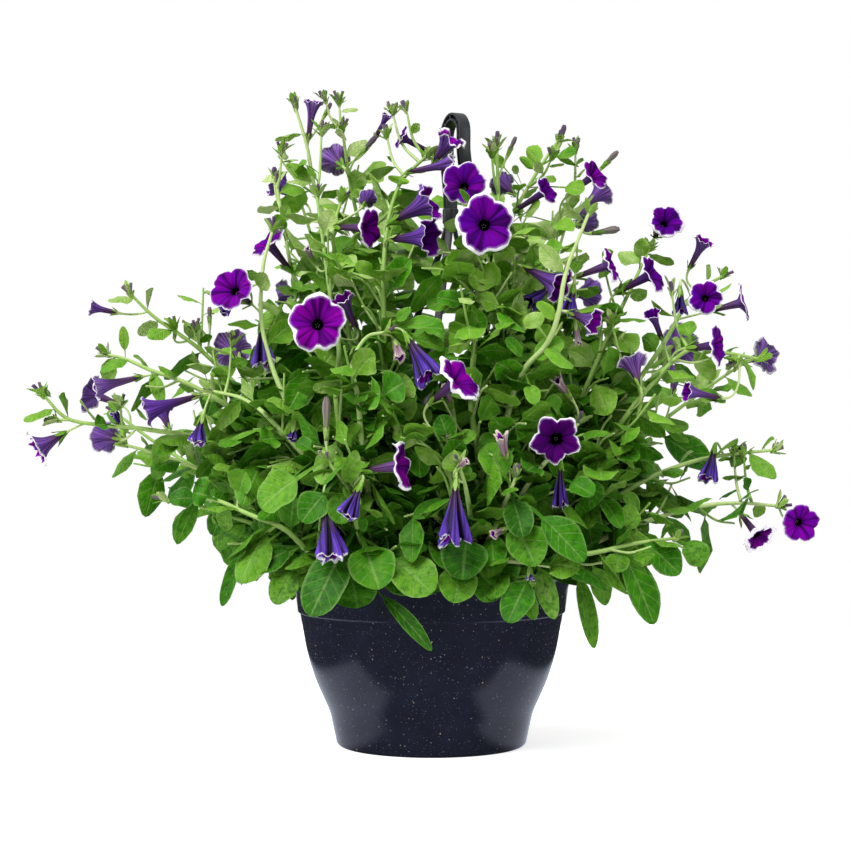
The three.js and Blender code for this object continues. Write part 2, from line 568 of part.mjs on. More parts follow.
// The stalk leaves the stem, bends into line with the bloom and widens into the calyx. Wilted blooms,
// withered husks and buds go on from there as one closed form.
function stalkSolid(bloom) {
  const aim = bloom.base.clone().addScaledVector(bloom.axis, -stalkReach).addScaledVector(down, stalkDrop);
  const foot = onStem(bloom.core, nearestOn(bloom.line, aim));
  const reach = foot.distanceTo(bloom.base);
  const bend = bloom.base.clone().addScaledVector(bloom.axis, -Math.min(stalkBend, 0.6 * reach));
  const curve = new THREE.QuadraticBezierCurve3(foot, bend, bloom.base);
  const at = (height) => bloom.base.clone().addScaledVector(bloom.axis, height);
  const form = closedForms[bloom.kind] ?? { sides: 3, rings: [] };
  const middle = reach > stalkStraight ? [[curve.getPoint(0.45), stalkRadius]] : [];
  const calyx = [[at(-calyxDepth), 1.3 * stalkRadius], [at(0), calyxRadius]];
  const beyond = form.rings.map(([h, r]) => [at(h * bloom.length), r * bloom.radius]);
  const rings = [[foot, stalkRadius], ...middle, ...calyx, ...beyond];
  const tip = form.tip && at(form.tip * bloom.length);
  return taperedTube(rings.map(([p]) => p), rings.map(([, r]) => r), form.sides, tip);
}

// An open or half open bloom: a five-sided tube that flares into five lobes, hollow down to its throat.
// An open one has a notch between its lobes, a half open one has straight edges there.
function trumpet({ kind, fused, axis, base, radius, length }, turn) {
  const notched = kind === "open";
  const at = (height) => base.clone().addScaledVector(axis, height);
  const [throatAt, throatShare] = notched ? [0.78, 0.3] : [0.6, 0.36];
  const foot = ringAt(at(fused ? -sinkIn : fitGap), axis, tubeRadius, 5, turn);
  const waist = ringAt(at(throatAt * length), axis, throatShare * radius + petalThick, 5, turn);
  const inner = ringAt(at(throatAt * length + petalThick), axis, throatShare * radius, 5, turn);
  const limb = (height) => {
    const tips = ringAt(at(height), axis, radius, 5, turn);
    const notches = ringAt(at(height - 0.06 * radius), axis, 0.84 * radius, 5, turn + Math.PI / 5);
    return notched ? tips.flatMap((tip, i) => [tip, notches[i]]) : tips;
  };
  const points = [...foot, ...waist, ...limb(length - petalThick), ...limb(length), ...inner, at(0.3 * length)];
  const edge = notched ? 10 : 5;
  const [f, w, under] = [0, 5, 10];
  const [over, n, pit] = [under + edge, under + 2 * edge, under + 2 * edge + 5];
  const faces = [[f, f + 2, f + 1], [f, f + 3, f + 2], [f, f + 4, f + 3]];
  for (let i = 0; i < 5; i++) {
    const j = (i + 1) % 5;
    faces.push([f + i, f + j, w + i], [f + j, w + j, w + i], [n + i, n + j, pit]);
    faces.push(...flare(w + i, w + j, under, i, edge));
    faces.push(...flare(n + i, n + j, over, i, edge).map(([a, b, c]) => [a, c, b]));
  }
  for (let k = 0; k < edge; k++) {
    const m = (k + 1) % edge;
    faces.push([under + k, under + m, over + k], [under + m, over + m, over + k]);
  }
  return closed(points, faces);
}

// The triangles between a side of the throat and the lobe edge beyond it.
function flare(a, b, first, i, edge) {
  const step = edge / 5;
  const [tip, next] = [first + step * i, first + ((step * (i + 1)) % edge)];
  if (step === 1) return [[a, b, tip], [b, next, tip]];
  return [[a, tip + 1, tip], [a, b, tip + 1], [b, next, tip + 1]];
}

// Closed forms past the calyx: shares of the length, with the share of the radius there, and the tip.
const closedForms = {
  limp: { sides: 4, rings: [[0.55, 0.5], [0.97, 1]], tip: 0.8 },
  husk: { sides: 3, rings: [[0.6, 0.6], [0.95, 1]], tip: 0.85 },
  bud: { sides: 3, rings: [[0.5, 0.8], [0.82, 1]], tip: 1 },
};

// A leaf's middle line: out along its direction, drooping more toward the tip.
function leafPoint(leaf, s) {
  return leaf.root.clone().addScaledVector(leaf.along, leaf.length * s)
    .addScaledVector(down, leaf.length * leaf.droop * s * s);
}

// Stations along a blade and the share of its width there. A leaf on a long stalk of its own has one
// more, where the stalk meets the blade.
const outlines = { stalked: [[0, 0.14], [0.4, 1], [0.8, 0.8]], small: [[0.33, 0.85], [0.72, 0.9]] };

const leafOutline = ({ neck }) => (neck > leafRule.neck ? outlines.stalked : outlines.small)
  .map(([s, share]) => [mix(neck, 1, s), share]);

function leafSolid(leaf) {
  const lift = (point, normal, sign) => point.clone().addScaledVector(normal, sign * bladeThick / 2);
  const sheet = (sign) => {
    const points = [lift(leaf.sunk ?? leaf.root, leaf.normal, sign)];
    leafOutline(leaf).forEach(([s, share]) => {
      const along = leaf.along.clone().addScaledVector(down, 2 * leaf.droop * s).normalize();
      const across = new THREE.Vector3().crossVectors(along, leaf.normal).normalize();
      const normal = new THREE.Vector3().crossVectors(across, along);
      [-1, 1].forEach((side) => {
        const edge = leafPoint(leaf, s).addScaledVector(across, (side * share * leaf.width) / 2);
        points.push(lift(edge, normal, sign));
      });
    });
    return [...points, lift(leafPoint(leaf, 1), leaf.normal, sign)];
  };
  const rows = leafOutline(leaf).length;
  const tip = 2 * rows + 1;
  const face = [[0, 1, 2]];
  for (let k = 1; k < rows; k++) face.push([2 * k - 1, 2 * k + 1, 2 * k], [2 * k, 2 * k + 1, 2 * k + 2]);
  face.push([tip - 2, tip, tip - 1]);
  const left = Array.from({ length: rows }, (_, k) => 2 * k + 1);
  const edge = [0, ...left, tip, ...left.map((k) => k + 1).reverse()];
  const lower = tip + 1;
  const faces = [...face, ...face.map(([a, b, c]) => [a + lower, c + lower, b + lower])];
  edge.forEach((a, i) => {
    const b = edge[(i + 1) % edge.length];
    faces.push([b, a, b + lower], [b + lower, a, a + lower]);
  });
  return closed([...sheet(1), ...sheet(-1)], faces);
}

// Places a leaf may not enter: the pot and its soil, the hanger and the blooms.
const keepOut = {
  potRadius: 164, potHigh: 186, innerRadius: 130, overSoil: 6,
  hookFrom: 512, hubHigh: 545, hubRadius: 13, hookRadius: 31, arm: 9, armEnd: 4,
  bloomBack: 3, bloomFront: 7, bloomSide: 3, tubeShare: 0.35, tubeLength: 0.6,
};

function taken(point, blooms) {
  const level = Math.hypot(point.x, point.y);
  if (level < keepOut.potRadius && point.z < keepOut.potHigh) {
    return level > keepOut.innerRadius || point.z < soilTop + keepOut.overSoil;
  }
  const hookRadius = point.z < keepOut.hubHigh ? keepOut.hubRadius : keepOut.hookRadius;
  if (point.z > keepOut.hookFrom && Math.hypot(point.x - hubX, point.y) < hookRadius) return true;
  if (nearArm(point)) return true;
  return blooms.some(({ base, axis, radius, length }) => {
    const rise = point.clone().sub(base);
    const h = rise.dot(axis);
    if (h < -keepOut.bloomBack || h > length + keepOut.bloomFront) return false;
    const r = rise.addScaledVector(axis, -h).length();
    return r < keepOut.bloomSide + radius * (h < keepOut.tubeLength * length ? keepOut.tubeShare : 1);
  });
}

function nearArm(point) {
  return armTurns.some((turn) => {
    const frame = armFrame(turn);
    return armLine.slice(2, 8).some(([r, z], i) => {
      const [nextR, nextZ] = armLine[i + 3];
      if (point.z > z + keepOut.armEnd || point.z < nextZ - keepOut.armEnd) return false;
      const share = (z - point.z) / (z - nextZ);
      return frame.at(mix(r, nextR, share), point.z).distanceTo(point) < keepOut.arm;
    });
  });
}

// The first droop that keeps a leaf out of what stands round it, or none.
function fitted(leaf, blooms) {
  const across = new THREE.Vector3().crossVectors(leaf.along, leaf.normal);
  return droopTries.map((share) => ({ ...leaf, droop: leaf.droop * share })).find((trial) => {
    const probes = [0.45, 0.75, 1].flatMap((s) => [-0.45, 0, 0.45].map((side) =>
      leafPoint(trial, s).addScaledVector(across, side * leaf.width * (s === 1 ? 0.3 : 1))));
    return !probes.some((p) => taken(p, blooms));
  });
}

// Leaves that grow along one stem by the rule.
function leavesAlong(line, seed, blooms) {
  const draw = draws(seed);
  const steps = line.slice(1).map((p, i) => p.distanceTo(line[i]));
  const total = steps.reduce((a, b) => a + b, 0);
  const found = [];
  let turn = 360 * draw();
  let at = leafRule.firstAt;
  for (let k = 0; at < total - 5; k++) {
    let [index, left] = [0, at];
    while (index < steps.length - 1 && left > steps[index]) left -= steps[index++];
    const root = line[index].clone().lerp(line[index + 1], left / steps[index]);
    const stemAlong = line[index + 1].clone().sub(line[index]).normalize();
    const share = at / total;
    const length = mix(...leafRule.length, Math.pow(share, 0.9)) * (0.84 + 0.32 * draw());
    const width = length * mix(...leafRule.width, share) * (0.9 + 0.2 * draw());
    turn += leafRule.turn + 30 * (draw() - 0.5);
    const [side, up] = squareTo(stemAlong);
    const out = side.multiplyScalar(Math.cos(radians(turn))).addScaledVector(up, Math.sin(radians(turn)));
    const spread = radians(leafRule.spread);
    const along = out.multiplyScalar(Math.sin(spread)).addScaledVector(stemAlong, Math.cos(spread)).normalize();
    const light = new THREE.Vector3(root.x, root.y, 0).normalize().multiplyScalar(0.7).addScaledVector(down, -1);
    const normal = light.addScaledVector(along, -light.dot(along)).normalize();
    const droop = leafRule.droop * (0.6 + 0.8 * draw());
    const large = length >= leafRule.largeFrom || k % leafRule.everyNth === 0;
    const leaf = fitted({ root, along, normal, length, width, neck: leafRule.neck, droop }, blooms);
    if (leaf) found.push({ ...leaf, large });
    at += mix(...leafRule.spacing, share) * (0.9 + 0.2 * draw());
  }
  return found;
}

// A leaf shown by its foot and tip; its root reaches back to the nearest stem.
function shownLeaf([, footAcross, footUp, tipAcross, tipUp, toward, width], lines) {
  const foot = sighted(footAcross, footUp, toward);
  const tip = sighted(tipAcross, tipUp, toward + Math.sign(toward) * 6);
  const root = nearestOn(lines.flat(), foot);
  const reach = tip.clone().sub(root);
  const length = reach.length();
  const neck = foot.distanceTo(root) / (foot.distanceTo(root) + foot.distanceTo(tip));
  const droop = 0.16;
  const along = reach.addScaledVector(down, -length * droop).normalize();
  const view = new THREE.Vector3(0, -Math.sign(toward) * 0.85, 0.55);
  const normal = view.addScaledVector(along, -view.dot(along)).normalize();
  return { root, along, normal, length, width, neck, droop };
}

// A leaf without its root, which is sunk in the stem.
function outerPart(leaf) {
  const share = 0.3;
  const neck = Math.max(0, leaf.neck - share) / (1 - share);
  return { ...leaf, root: leafPoint(leaf, share), length: leaf.length * (1 - share), neck };
}

const bounds = (solid) => {
  const { min, max } = solid.boundingBox();
  return new THREE.Box3(new THREE.Vector3(...min), new THREE.Vector3(...max)).expandByScalar(clear);
};

const collides = (one, others) => others.some((other) =>
  one.box.intersectsBox(other.box) && one.solid.minGap(other.solid, clear) < clear);

const boxed = (solid, owner) => ({ solid, owner, box: bounds(solid) });

const material = (colour, roughness) => new THREE.MeshStandardMaterial({ color: colour, roughness, metalness: 0 });

function addNode(group, name, solid, finish) {
  const { vertProperties, triVerts } = solid.getMesh();
  const geometry = new THREE.BufferGeometry();
  geometry.setAttribute("position", new THREE.BufferAttribute(new Float32Array(vertProperties), 3));
  geometry.setIndex(new THREE.BufferAttribute(new Uint32Array(triVerts), 1));
  geometry.computeVertexNormals();
  const mesh = new THREE.Mesh(geometry, finish);
  mesh.name = name;
  group.add(mesh);
}

const part = new THREE.Group();
const [container, foliage, flowers] = ["container", "foliage", "flowers"].map((name) => {
  const group = new THREE.Group();
  group.name = name;
  part.add(group);
  return group;
});

const potShape = potSolid();
const soilShape = soilSolid();
const hookShape = hangerHook();
addNode(container, "pot", potShape, material(colours.pot, 0.25));
addNode(container, "soil", soilShape, material(colours.soil, 0.95));
addNode(container, "hanger_hook", hookShape, material(colours.hanger, 0.4));
const hardware = [potShape, soilShape, hookShape];
armTurns.forEach((turn, i) => {
  const arm = hangerArm(turn);
  hardware.push(arm);
  addNode(container, `hanger_arm_${i + 1}`, arm, material(colours.hanger, 0.4));
});

// Stems, stalks and blooms first, then every leaf that stays clear of the other nodes.
const grown = plants.map(({ name, stems }, p) => {
  const spot = crownSpots[p];
  const routes = stems.map(([route]) => stemPoints(route, spot));
  const lines = routes.map(({ curve, spans }) => polyline(curve, 8 * spans));
  const cores = routes.map(({ curve, spans }) => polyline(curve, spans + 1));
  const blooms = stems.flatMap(([, carried], s) =>
    carried.map((spec) => ({ ...bloomPlace(spec), line: lines[s].slice(6), core: cores[s] })));
  return { name, spot, routes, lines, cores, blooms };
});
const allBlooms = grown.flatMap(({ blooms }) => blooms);
const modelled = ({ kind, radius }) => !(kind in closedForms) || radius > leastRadius;
const bodies = hardware.map((solid) => boxed(solid, -1));
const flowerPieces = [];
grown.forEach((plant, p) => {
  const crown = post(...plant.spot, soilTop - holeDepth + fitGap, crownTop, crownRadius, holeSides);
  plant.pieces = [crown, ...plant.cores.map(stemSolid)];
  const draw = draws(300 + p);
  plant.blooms.forEach((bloom, i) => {
    const turn = 2 * Math.PI * draw();
    if (!modelled(bloom)) return;
    plant.pieces.push(stalkSolid(bloom));
    if (bloom.kind in closedForms) return;
    const solid = trumpet(bloom, turn);
    if (bloom.fused) plant.pieces.push(solid);
    else flowerPieces.push({ name: `${plant.name.replace("plant", "bloom")}_${i + 1}`, solid, owner: p });
  });
  plant.pieces.forEach((solid) => bodies.push(boxed(solid, p)));
});
flowerPieces.forEach(({ name, solid }) => {
  bodies.push(boxed(solid, name));
  addNode(flowers, name, solid, material(colours.petal, 0.6));
});

grown.forEach((plant, p) => {
  const strangers = bodies.filter(({ owner }) => owner !== p);
  const leaves = [
    ...shownLeaves.filter(([owner]) => owner === p).map((row) => shownLeaf(row, plant.lines)),
    ...plant.lines.flatMap((line, s) => leavesAlong(line, 1000 * (p + 1) + s, allBlooms))
      .filter(({ large }) => large),
  ];
  const own = bodies.filter(({ owner }) => owner === p);
  leaves.forEach((leaf) => {
    const sunk = nearestOn(plant.cores.map((core) => onStem(core, leaf.root)), leaf.root);
    const piece = boxed(leafSolid({ ...leaf, sunk }), p);
    if (collides(piece, strangers) || collides(boxed(leafSolid(outerPart(leaf)), p), own)) return;
    plant.pieces.push(piece.solid);
    own.push(piece);
    bodies.push(piece);
  });
  addNode(foliage, plant.name, wasm.Manifold.union(plant.pieces), material(colours.foliage, 0.7));
});

export default part;
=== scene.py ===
import json
import math
from functools import partial

import bmesh
import bpy
import numpy as np
from mathutils import Matrix, Vector

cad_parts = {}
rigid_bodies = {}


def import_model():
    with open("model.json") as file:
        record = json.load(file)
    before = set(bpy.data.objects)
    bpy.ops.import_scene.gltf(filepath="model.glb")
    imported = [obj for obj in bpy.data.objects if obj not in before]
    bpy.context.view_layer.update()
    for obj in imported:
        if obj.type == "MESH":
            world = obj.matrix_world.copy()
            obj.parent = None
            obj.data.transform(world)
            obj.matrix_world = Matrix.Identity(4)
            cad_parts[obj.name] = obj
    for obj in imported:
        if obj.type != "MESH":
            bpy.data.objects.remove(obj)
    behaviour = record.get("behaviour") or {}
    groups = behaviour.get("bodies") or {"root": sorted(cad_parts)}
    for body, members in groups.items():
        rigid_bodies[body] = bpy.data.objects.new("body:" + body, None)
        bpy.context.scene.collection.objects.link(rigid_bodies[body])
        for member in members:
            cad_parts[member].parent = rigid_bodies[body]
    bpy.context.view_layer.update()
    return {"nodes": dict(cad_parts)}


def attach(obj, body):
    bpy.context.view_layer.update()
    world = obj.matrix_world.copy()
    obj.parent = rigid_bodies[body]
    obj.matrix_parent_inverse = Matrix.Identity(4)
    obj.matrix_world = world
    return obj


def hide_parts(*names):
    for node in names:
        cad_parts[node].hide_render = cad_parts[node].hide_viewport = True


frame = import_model()
mm = 0.001
fullTurn = 2 * math.pi
norm = np.linalg.norm


# Node helpers and colours

# Gives a node's inputs, by name or in order, a value, a socket, or another node's first live output.
def feedNode(node, values):
    for name, value in values.items() if isinstance(values, dict) else enumerate(values):
        if isinstance(value, bpy.types.Node):
            value = next(out for out in value.outputs if out.enabled)
        if isinstance(value, bpy.types.NodeSocket):
            node.id_data.links.new(value, node.inputs[name])
        else:
            node.inputs[name].default_value = value


# A kind that doesn't name its family is a shader node.
def addNode(tree, kind, settings=None, links=None):
    named = kind.startswith(("GeometryNode", "FunctionNode", "NodeGroup"))
    node = tree.nodes.new(kind if named else "ShaderNode" + kind)
    for name, value in (settings or {}).items():
        setattr(node, name, value)
    feedNode(node, links or {})
    return node


# Settings that many nodes share: a mix of colours, a soft step, a result kept from 0 to 1, and sums.
rgba, smooth, clamped = {"data_type": "RGBA"}, {"interpolation_type": "SMOOTHSTEP"}, {"use_clamp": True}
times, plus, minus, timesPlus = (
    {"operation": name} for name in ("MULTIPLY", "ADD", "SUBTRACT", "MULTIPLY_ADD"))


def linear(hexColour):
    parts = [int(hexColour[i:i + 2], 16) / 255 for i in (0, 2, 4)]
    return (*[p / 12.92 if p <= 0.04045 else ((p + 0.055) / 1.055) ** 2.4 for p in parts], 1.0)


# The scale of a pattern whose cells measure so many millimetres.
def perSize(size):
    return 1 / (size * mm)


def startMaterial(name):
    made = bpy.data.materials.new(name)
    made.use_nodes = True
    made.node_tree.nodes.clear()
    add = partial(addNode, made.node_tree)
    shader = add("BsdfPrincipled")
    add("OutputMaterial", links={"Surface": shader})
    return made, add, shader, add("TexCoord").outputs["Object"]


def readValues(add, *names):
    return [add("Attribute", {"attribute_name": name}).outputs["Fac"] for name in names]


# Ramp stops are places and colours; the first and last are the ramp's own two.
def fillRamp(ramp, stops):
    for element, (at, colour) in zip(ramp.color_ramp.elements, (stops[0], stops[-1])):
        element.position, element.color = at, linear(colour)
    for at, colour in stops[1:-1]:
        ramp.color_ramp.elements.new(at).color = linear(colour)
    return ramp


# Polypropylene, injection moulded and glossy, with pale flecks in the melt: navy to near black, a clear
# mirror, with sparse dots of grey and straw. Sizes are in mm.
potFinish = {
    "body": "191b26", "bodyLight": "242738", "cloud": 18, "roughness": 0.13, "ior": 1.49,
    # Flecks: spacing, size, share of the cells without one, colour. They end softly at fleckEdge.
    "flecks": [(2.4, 0.13, 0.2, "5c6270"), (4.2, 0.09, 0.4, "9a9ea8"), (8.0, 0.06, 0.5, "b8a888")],
    "fleckEdge": 1.6, "ripple": 26, "rippleStrength": 0.12, "rippleHeight": 0.6,
}


def mouldedPotPlastic():
    look = potFinish
    made, add, shader, place = startMaterial("polypropylene_moulded_flecked")
    cloud = add("TexNoise", links={"Vector": place, "Scale": perSize(look["cloud"]), "Detail": 3.0})
    body = add("Mix", rgba, {0: cloud, 6: linear(look["body"]), 7: linear(look["bodyLight"])})
    for spacing, size, share, colour in look["flecks"]:
        cells = add("TexVoronoi", links={"Vector": place, "Scale": perSize(spacing)})
        dot = add("MapRange", smooth, [cells, size, size * look["fleckEdge"], 1.0, 0.0])
        pick = add("SeparateXYZ", links=[cells.outputs["Color"]])
        kept = add("MapRange", links=[pick, share, 1.0, 0.0, 1.0])
        shown = add("Math", times, [dot, kept])
        body = add("Mix", rgba, {0: shown, 6: body, 7: linear(colour)})
    ripple = add("TexNoise", links={"Vector": place, "Scale": perSize(look["ripple"]), "Detail": 2.0})
    bump = add("Bump", links={
        "Strength": look["rippleStrength"], "Distance": look["rippleHeight"] * mm, "Height": ripple})
    feedNode(shader, {"Base Color": body, "Normal": bump, "Roughness": look["roughness"], "IOR": look["ior"]})
    return made


# Polypropylene filled black, moulded with a light spark finish: charcoal where it catches light.
hangerFinish = {
    "dark": "15161a", "light": "2f3238", "cloud": 22, "grain": 0.7, "grainStrength": 0.25, "grainHeight": 0.12,
    "smoothest": 0.34, "roughest": 0.46,
}


def mouldedHangerPlastic():
    look = hangerFinish
    made, add, shader, place = startMaterial("polypropylene_moulded_charcoal")
    grain = add("TexNoise", links={"Vector": place, "Scale": perSize(look["grain"]), "Detail": 3.0})
    cloud = add("TexNoise", links={"Vector": place, "Scale": perSize(look["cloud"]), "Detail": 2.0})
    colour = add("Mix", rgba, {0: cloud, 6: linear(look["dark"]), 7: linear(look["light"])})
    bump = add("Bump", links={
        "Strength": look["grainStrength"], "Distance": look["grainHeight"] * mm, "Height": grain})
    rough = add("MapRange", links=[grain, 0.3, 0.7, look["smoothest"], look["roughest"]])
    feedNode(shader, {"Base Color": colour, "Normal": bump, "Roughness": rough})
    return made


# Peat and bark mix, loose and moist: dark brown crumbs, no gloss.
soilFinish = {
    "dark": "241a12", "light": "54402d", "crumb": 3.5, "fine": 2.2, "fineShare": 0.5, "roughness": 0.92,
    "bumpStrength": 0.8, "bumpHeight": 1.5,
}


def peatSoil():
    look = soilFinish
    made, add, shader, place = startMaterial("peat_potting_mix_loose")
    crumbs = add("TexVoronoi", links={"Vector": place, "Scale": perSize(look["crumb"])})
    fine = add("TexNoise", links={"Vector": place, "Scale": perSize(look["fine"]), "Detail": 6.0})
    share = add("Math", times, [fine, look["fineShare"]])
    tone = add("Math", {**plus, **clamped}, [crumbs, share])
    colour = add("Mix", rgba, {0: tone, 6: linear(look["dark"]), 7: linear(look["light"])})
    bump = add("Bump", links={
        "Strength": look["bumpStrength"], "Distance": look["bumpHeight"] * mm, "Height": tone})
    feedNode(shader, {"Base Color": colour, "Normal": bump, "Roughness": look["roughness"]})
    return made


# Petunia leaf, a living blade with short sticky hairs: satin green, a paler midrib and rim, and on old leaves
# puckers between the veins whose hollows are darkened with painted shade. Attributes: leafPlace (across -1 to 1,
# along 0 to 1), tint from deep green to yellow-green, partly painted light and shade, and age, which dims low leaves
# for their age and as painted shade. The hairs are drawn coarser than they are, so that they show.
leafFinish = {
    "ramp": [(0, "1c5000"), (0.32, "428c04"), (0.7, "80b434"), (1, "bed28a")],
    "mottleSize": 9, "mottle": 0.56, "veinPairs": 6.5, "veinSlant": 1.5, "puckerSize": 4.6, "furSize": 0.6,
    # What is laid over the green: how strongly, and its colour. The pucker colour is painted shade in the puckers'
    # hollows, and age dims low leaves, partly as painted shade.
    "vein": (0.2, "b4d080"), "rib": (0.3, "b4d080"), "pucker": (0.6, "205410"), "rim": (0.3, "b4d080"),
    "age": (0.75, "98b88c"), "veinHeight": -0.35, "furHeight": 0.12, "ribHeight": -0.5,
    "bumpStrength": 0.8, "bumpHeight": 1.4, "roughness": 0.43, "specular": 0.14, "sheen": 0.03,
}


def leafBlade():
    look = leafFinish
    made, add, shader, place = startMaterial("petunia_leaf_blade_hairy")
    spot = add("Attribute", {"attribute_name": "leafPlace"}).outputs["Vector"]
    tint, age = readValues(add, "tint", "age")
    parts = add("SeparateXYZ", links=[spot])
    across = add("Math", {"operation": "ABSOLUTE"}, [parts])
    mottle = add("TexNoise", links={"Vector": place, "Scale": perSize(look["mottleSize"]), "Detail": 4.0})
    mixed = add("Math", timesPlus, [mottle, look["mottle"], tint])
    toned = add("Math", {**minus, **clamped}, [mixed, look["mottle"] / 2])
    body = fillRamp(add("ValToRGB", links=[toned]), look["ramp"])
    # Side veins run slantwise from the midrib to the edge.
    slant = add("Math", times, [across, -look["veinSlant"]])
    ladder = add("Math", timesPlus, [parts.outputs[1], look["veinPairs"], slant])
    phase = add("Math", {"operation": "PINGPONG"}, [ladder, 0.5])
    vein, rib, rim = (add("MapRange", smooth, values) for values in (
        [phase, 0.0, 0.13, 1.0, 0.0], [across, 0.02, 0.12, 1.0, 0.0], [across, 0.82, 1.0, 0.0, 1.0]))
    # Where the puckers' relief is low, its hollows are darkened with painted shade, more on low, old leaves.
    pucker = add("TexNoise", links={"Vector": place, "Scale": perSize(look["puckerSize"]), "Detail": 2.0})
    sunk = add("MapRange", smooth, [pucker, 0.54, 0.3, 0.0, age])
    for factor, laid in ((vein, "vein"), (rib, "rib"), (sunk, "pucker"), (rim, "rim")):
        strength, colour = look[laid]
        amount = add("Math", times, [factor, strength])
        body = add("Mix", rgba, {0: amount, 6: body, 7: linear(colour)})
    # Low leaves are dimmed, partly for their age and partly as painted shade.
    strength, colour = look["age"]
    dimmedByAgeAndShade = add("Math", times, [age, strength])
    body = add("Mix", {**rgba, "blend_type": "MULTIPLY"}, {0: dimmedByAgeAndShade, 6: body, 7: linear(colour)})
    fur = add("TexNoise", links={"Vector": place, "Scale": perSize(look["furSize"]), "Detail": 2.0})
    relief = pucker
    for part, height in ((vein, "veinHeight"), (fur, "furHeight"), (rib, "ribHeight")):
        relief = add("Math", timesPlus, [part, look[height], relief])
    bump = add("Bump", links={
        "Strength": look["bumpStrength"], "Distance": look["bumpHeight"] * mm, "Height": relief})
    feedNode(shader, {
        "Base Color": body, "Normal": bump, "Roughness": look["roughness"],
        "Specular IOR Level": look["specular"], "Sheen Weight": look["sheen"], "Sheen Roughness": 0.4,
        "Sheen Tint": linear("d8ecb0")})
    return made


# Petunia stem, juicy and downy: pale yellow-green, lighter than the leaves, faint lengthwise streaks.
stemFinish = {
    "ramp": [(0, "6c9c2e"), (0.5, "9fc460"), (1, "cddc9c")], "streakSize": 6, "streak": 0.5,
    "fuzzSize": 0.7, "fuzzStrength": 0.4, "fuzzHeight": 0.3, "roughness": 0.5, "sheen": 0.25,
}


def downyStem():
    look = stemFinish
    made, add, shader, place = startMaterial("petunia_stem_downy")
    tint, = readValues(add, "tint")
    streak = add("TexNoise", links={"Vector": place, "Scale": perSize(look["streakSize"]), "Detail": 4.0})
    lowered = add("Math", minus, [tint, look["streak"] / 2])
    mixed = add("Math", {**timesPlus, **clamped}, [streak, look["streak"], lowered])
    ramp = fillRamp(add("ValToRGB", links=[mixed]), look["ramp"])
    fuzz = add("TexNoise", links={"Vector": place, "Scale": perSize(look["fuzzSize"]), "Detail": 2.0})
    bump = add("Bump", links={
        "Strength": look["fuzzStrength"], "Distance": look["fuzzHeight"] * mm, "Height": fuzz})
    feedNode(shader, {"Base Color": ramp, "Normal": bump, "Roughness": look["roughness"],
                      "Sheen Weight": look["sheen"], "Sheen Tint": linear("eef6d8")})
    return made


# Petal, a living velvet of raised cells: saturated, violet in one lobe and magenta in the next, that never shines,
# an uneven white rim, dark folds that are painted shade in their hollows, a small black throat in a ring of painted
# shade. Attributes: ray (cos, sin, along), lobe (1 on a lobe's middle line, 0 in a notch), rim (share of the length
# that is white), deep (where the throat ends), tint (violet to magenta), dark (how far the whole face is shaded).
petalFinish = {
    "violet": "5c0098", "magenta": "8c0098", "fold": "280040", "rimWhite": "f8f4fc", "rimBlush": "b98fd6",
    "throat": "040106", "drift": 1.7, "cellSize": 0.5, "cellHeight": 0.15, "foldHeight": 1.2,
    "bumpStrength": 0.7, "bumpHeight": 0.8, "roughness": 0.75, "specular": 0.04,
    # Patterns in the petal: how far they are drawn out along it, scale, detail.
    "patterns": {"veins": (0.12, 10.0, 3.0), "folds": (0.25, 3.4, 1.0), "drift": (0.3, 1.5, 1.0),
                 "waver": (0.0, 2.6, 2.0)},
    # Steps from low to high, their strength, and the colour where there is more than one.
    "foldShadeStep": (0.56, 0.34, 0.85), "veinStep": (0.52, 0.34, 0.26), "lobeStep": (0.96, 1.0, 0.2),
    "rimSteps": [(0.955, 1.0, 0.55, "rimBlush"), (0.99, 1.01, 1.0, "rimWhite")],
    "throatSteps": [(0.26, 0.06, 0.6, "fold"), (0.11, 0.07, 1.0, "throat")],
}


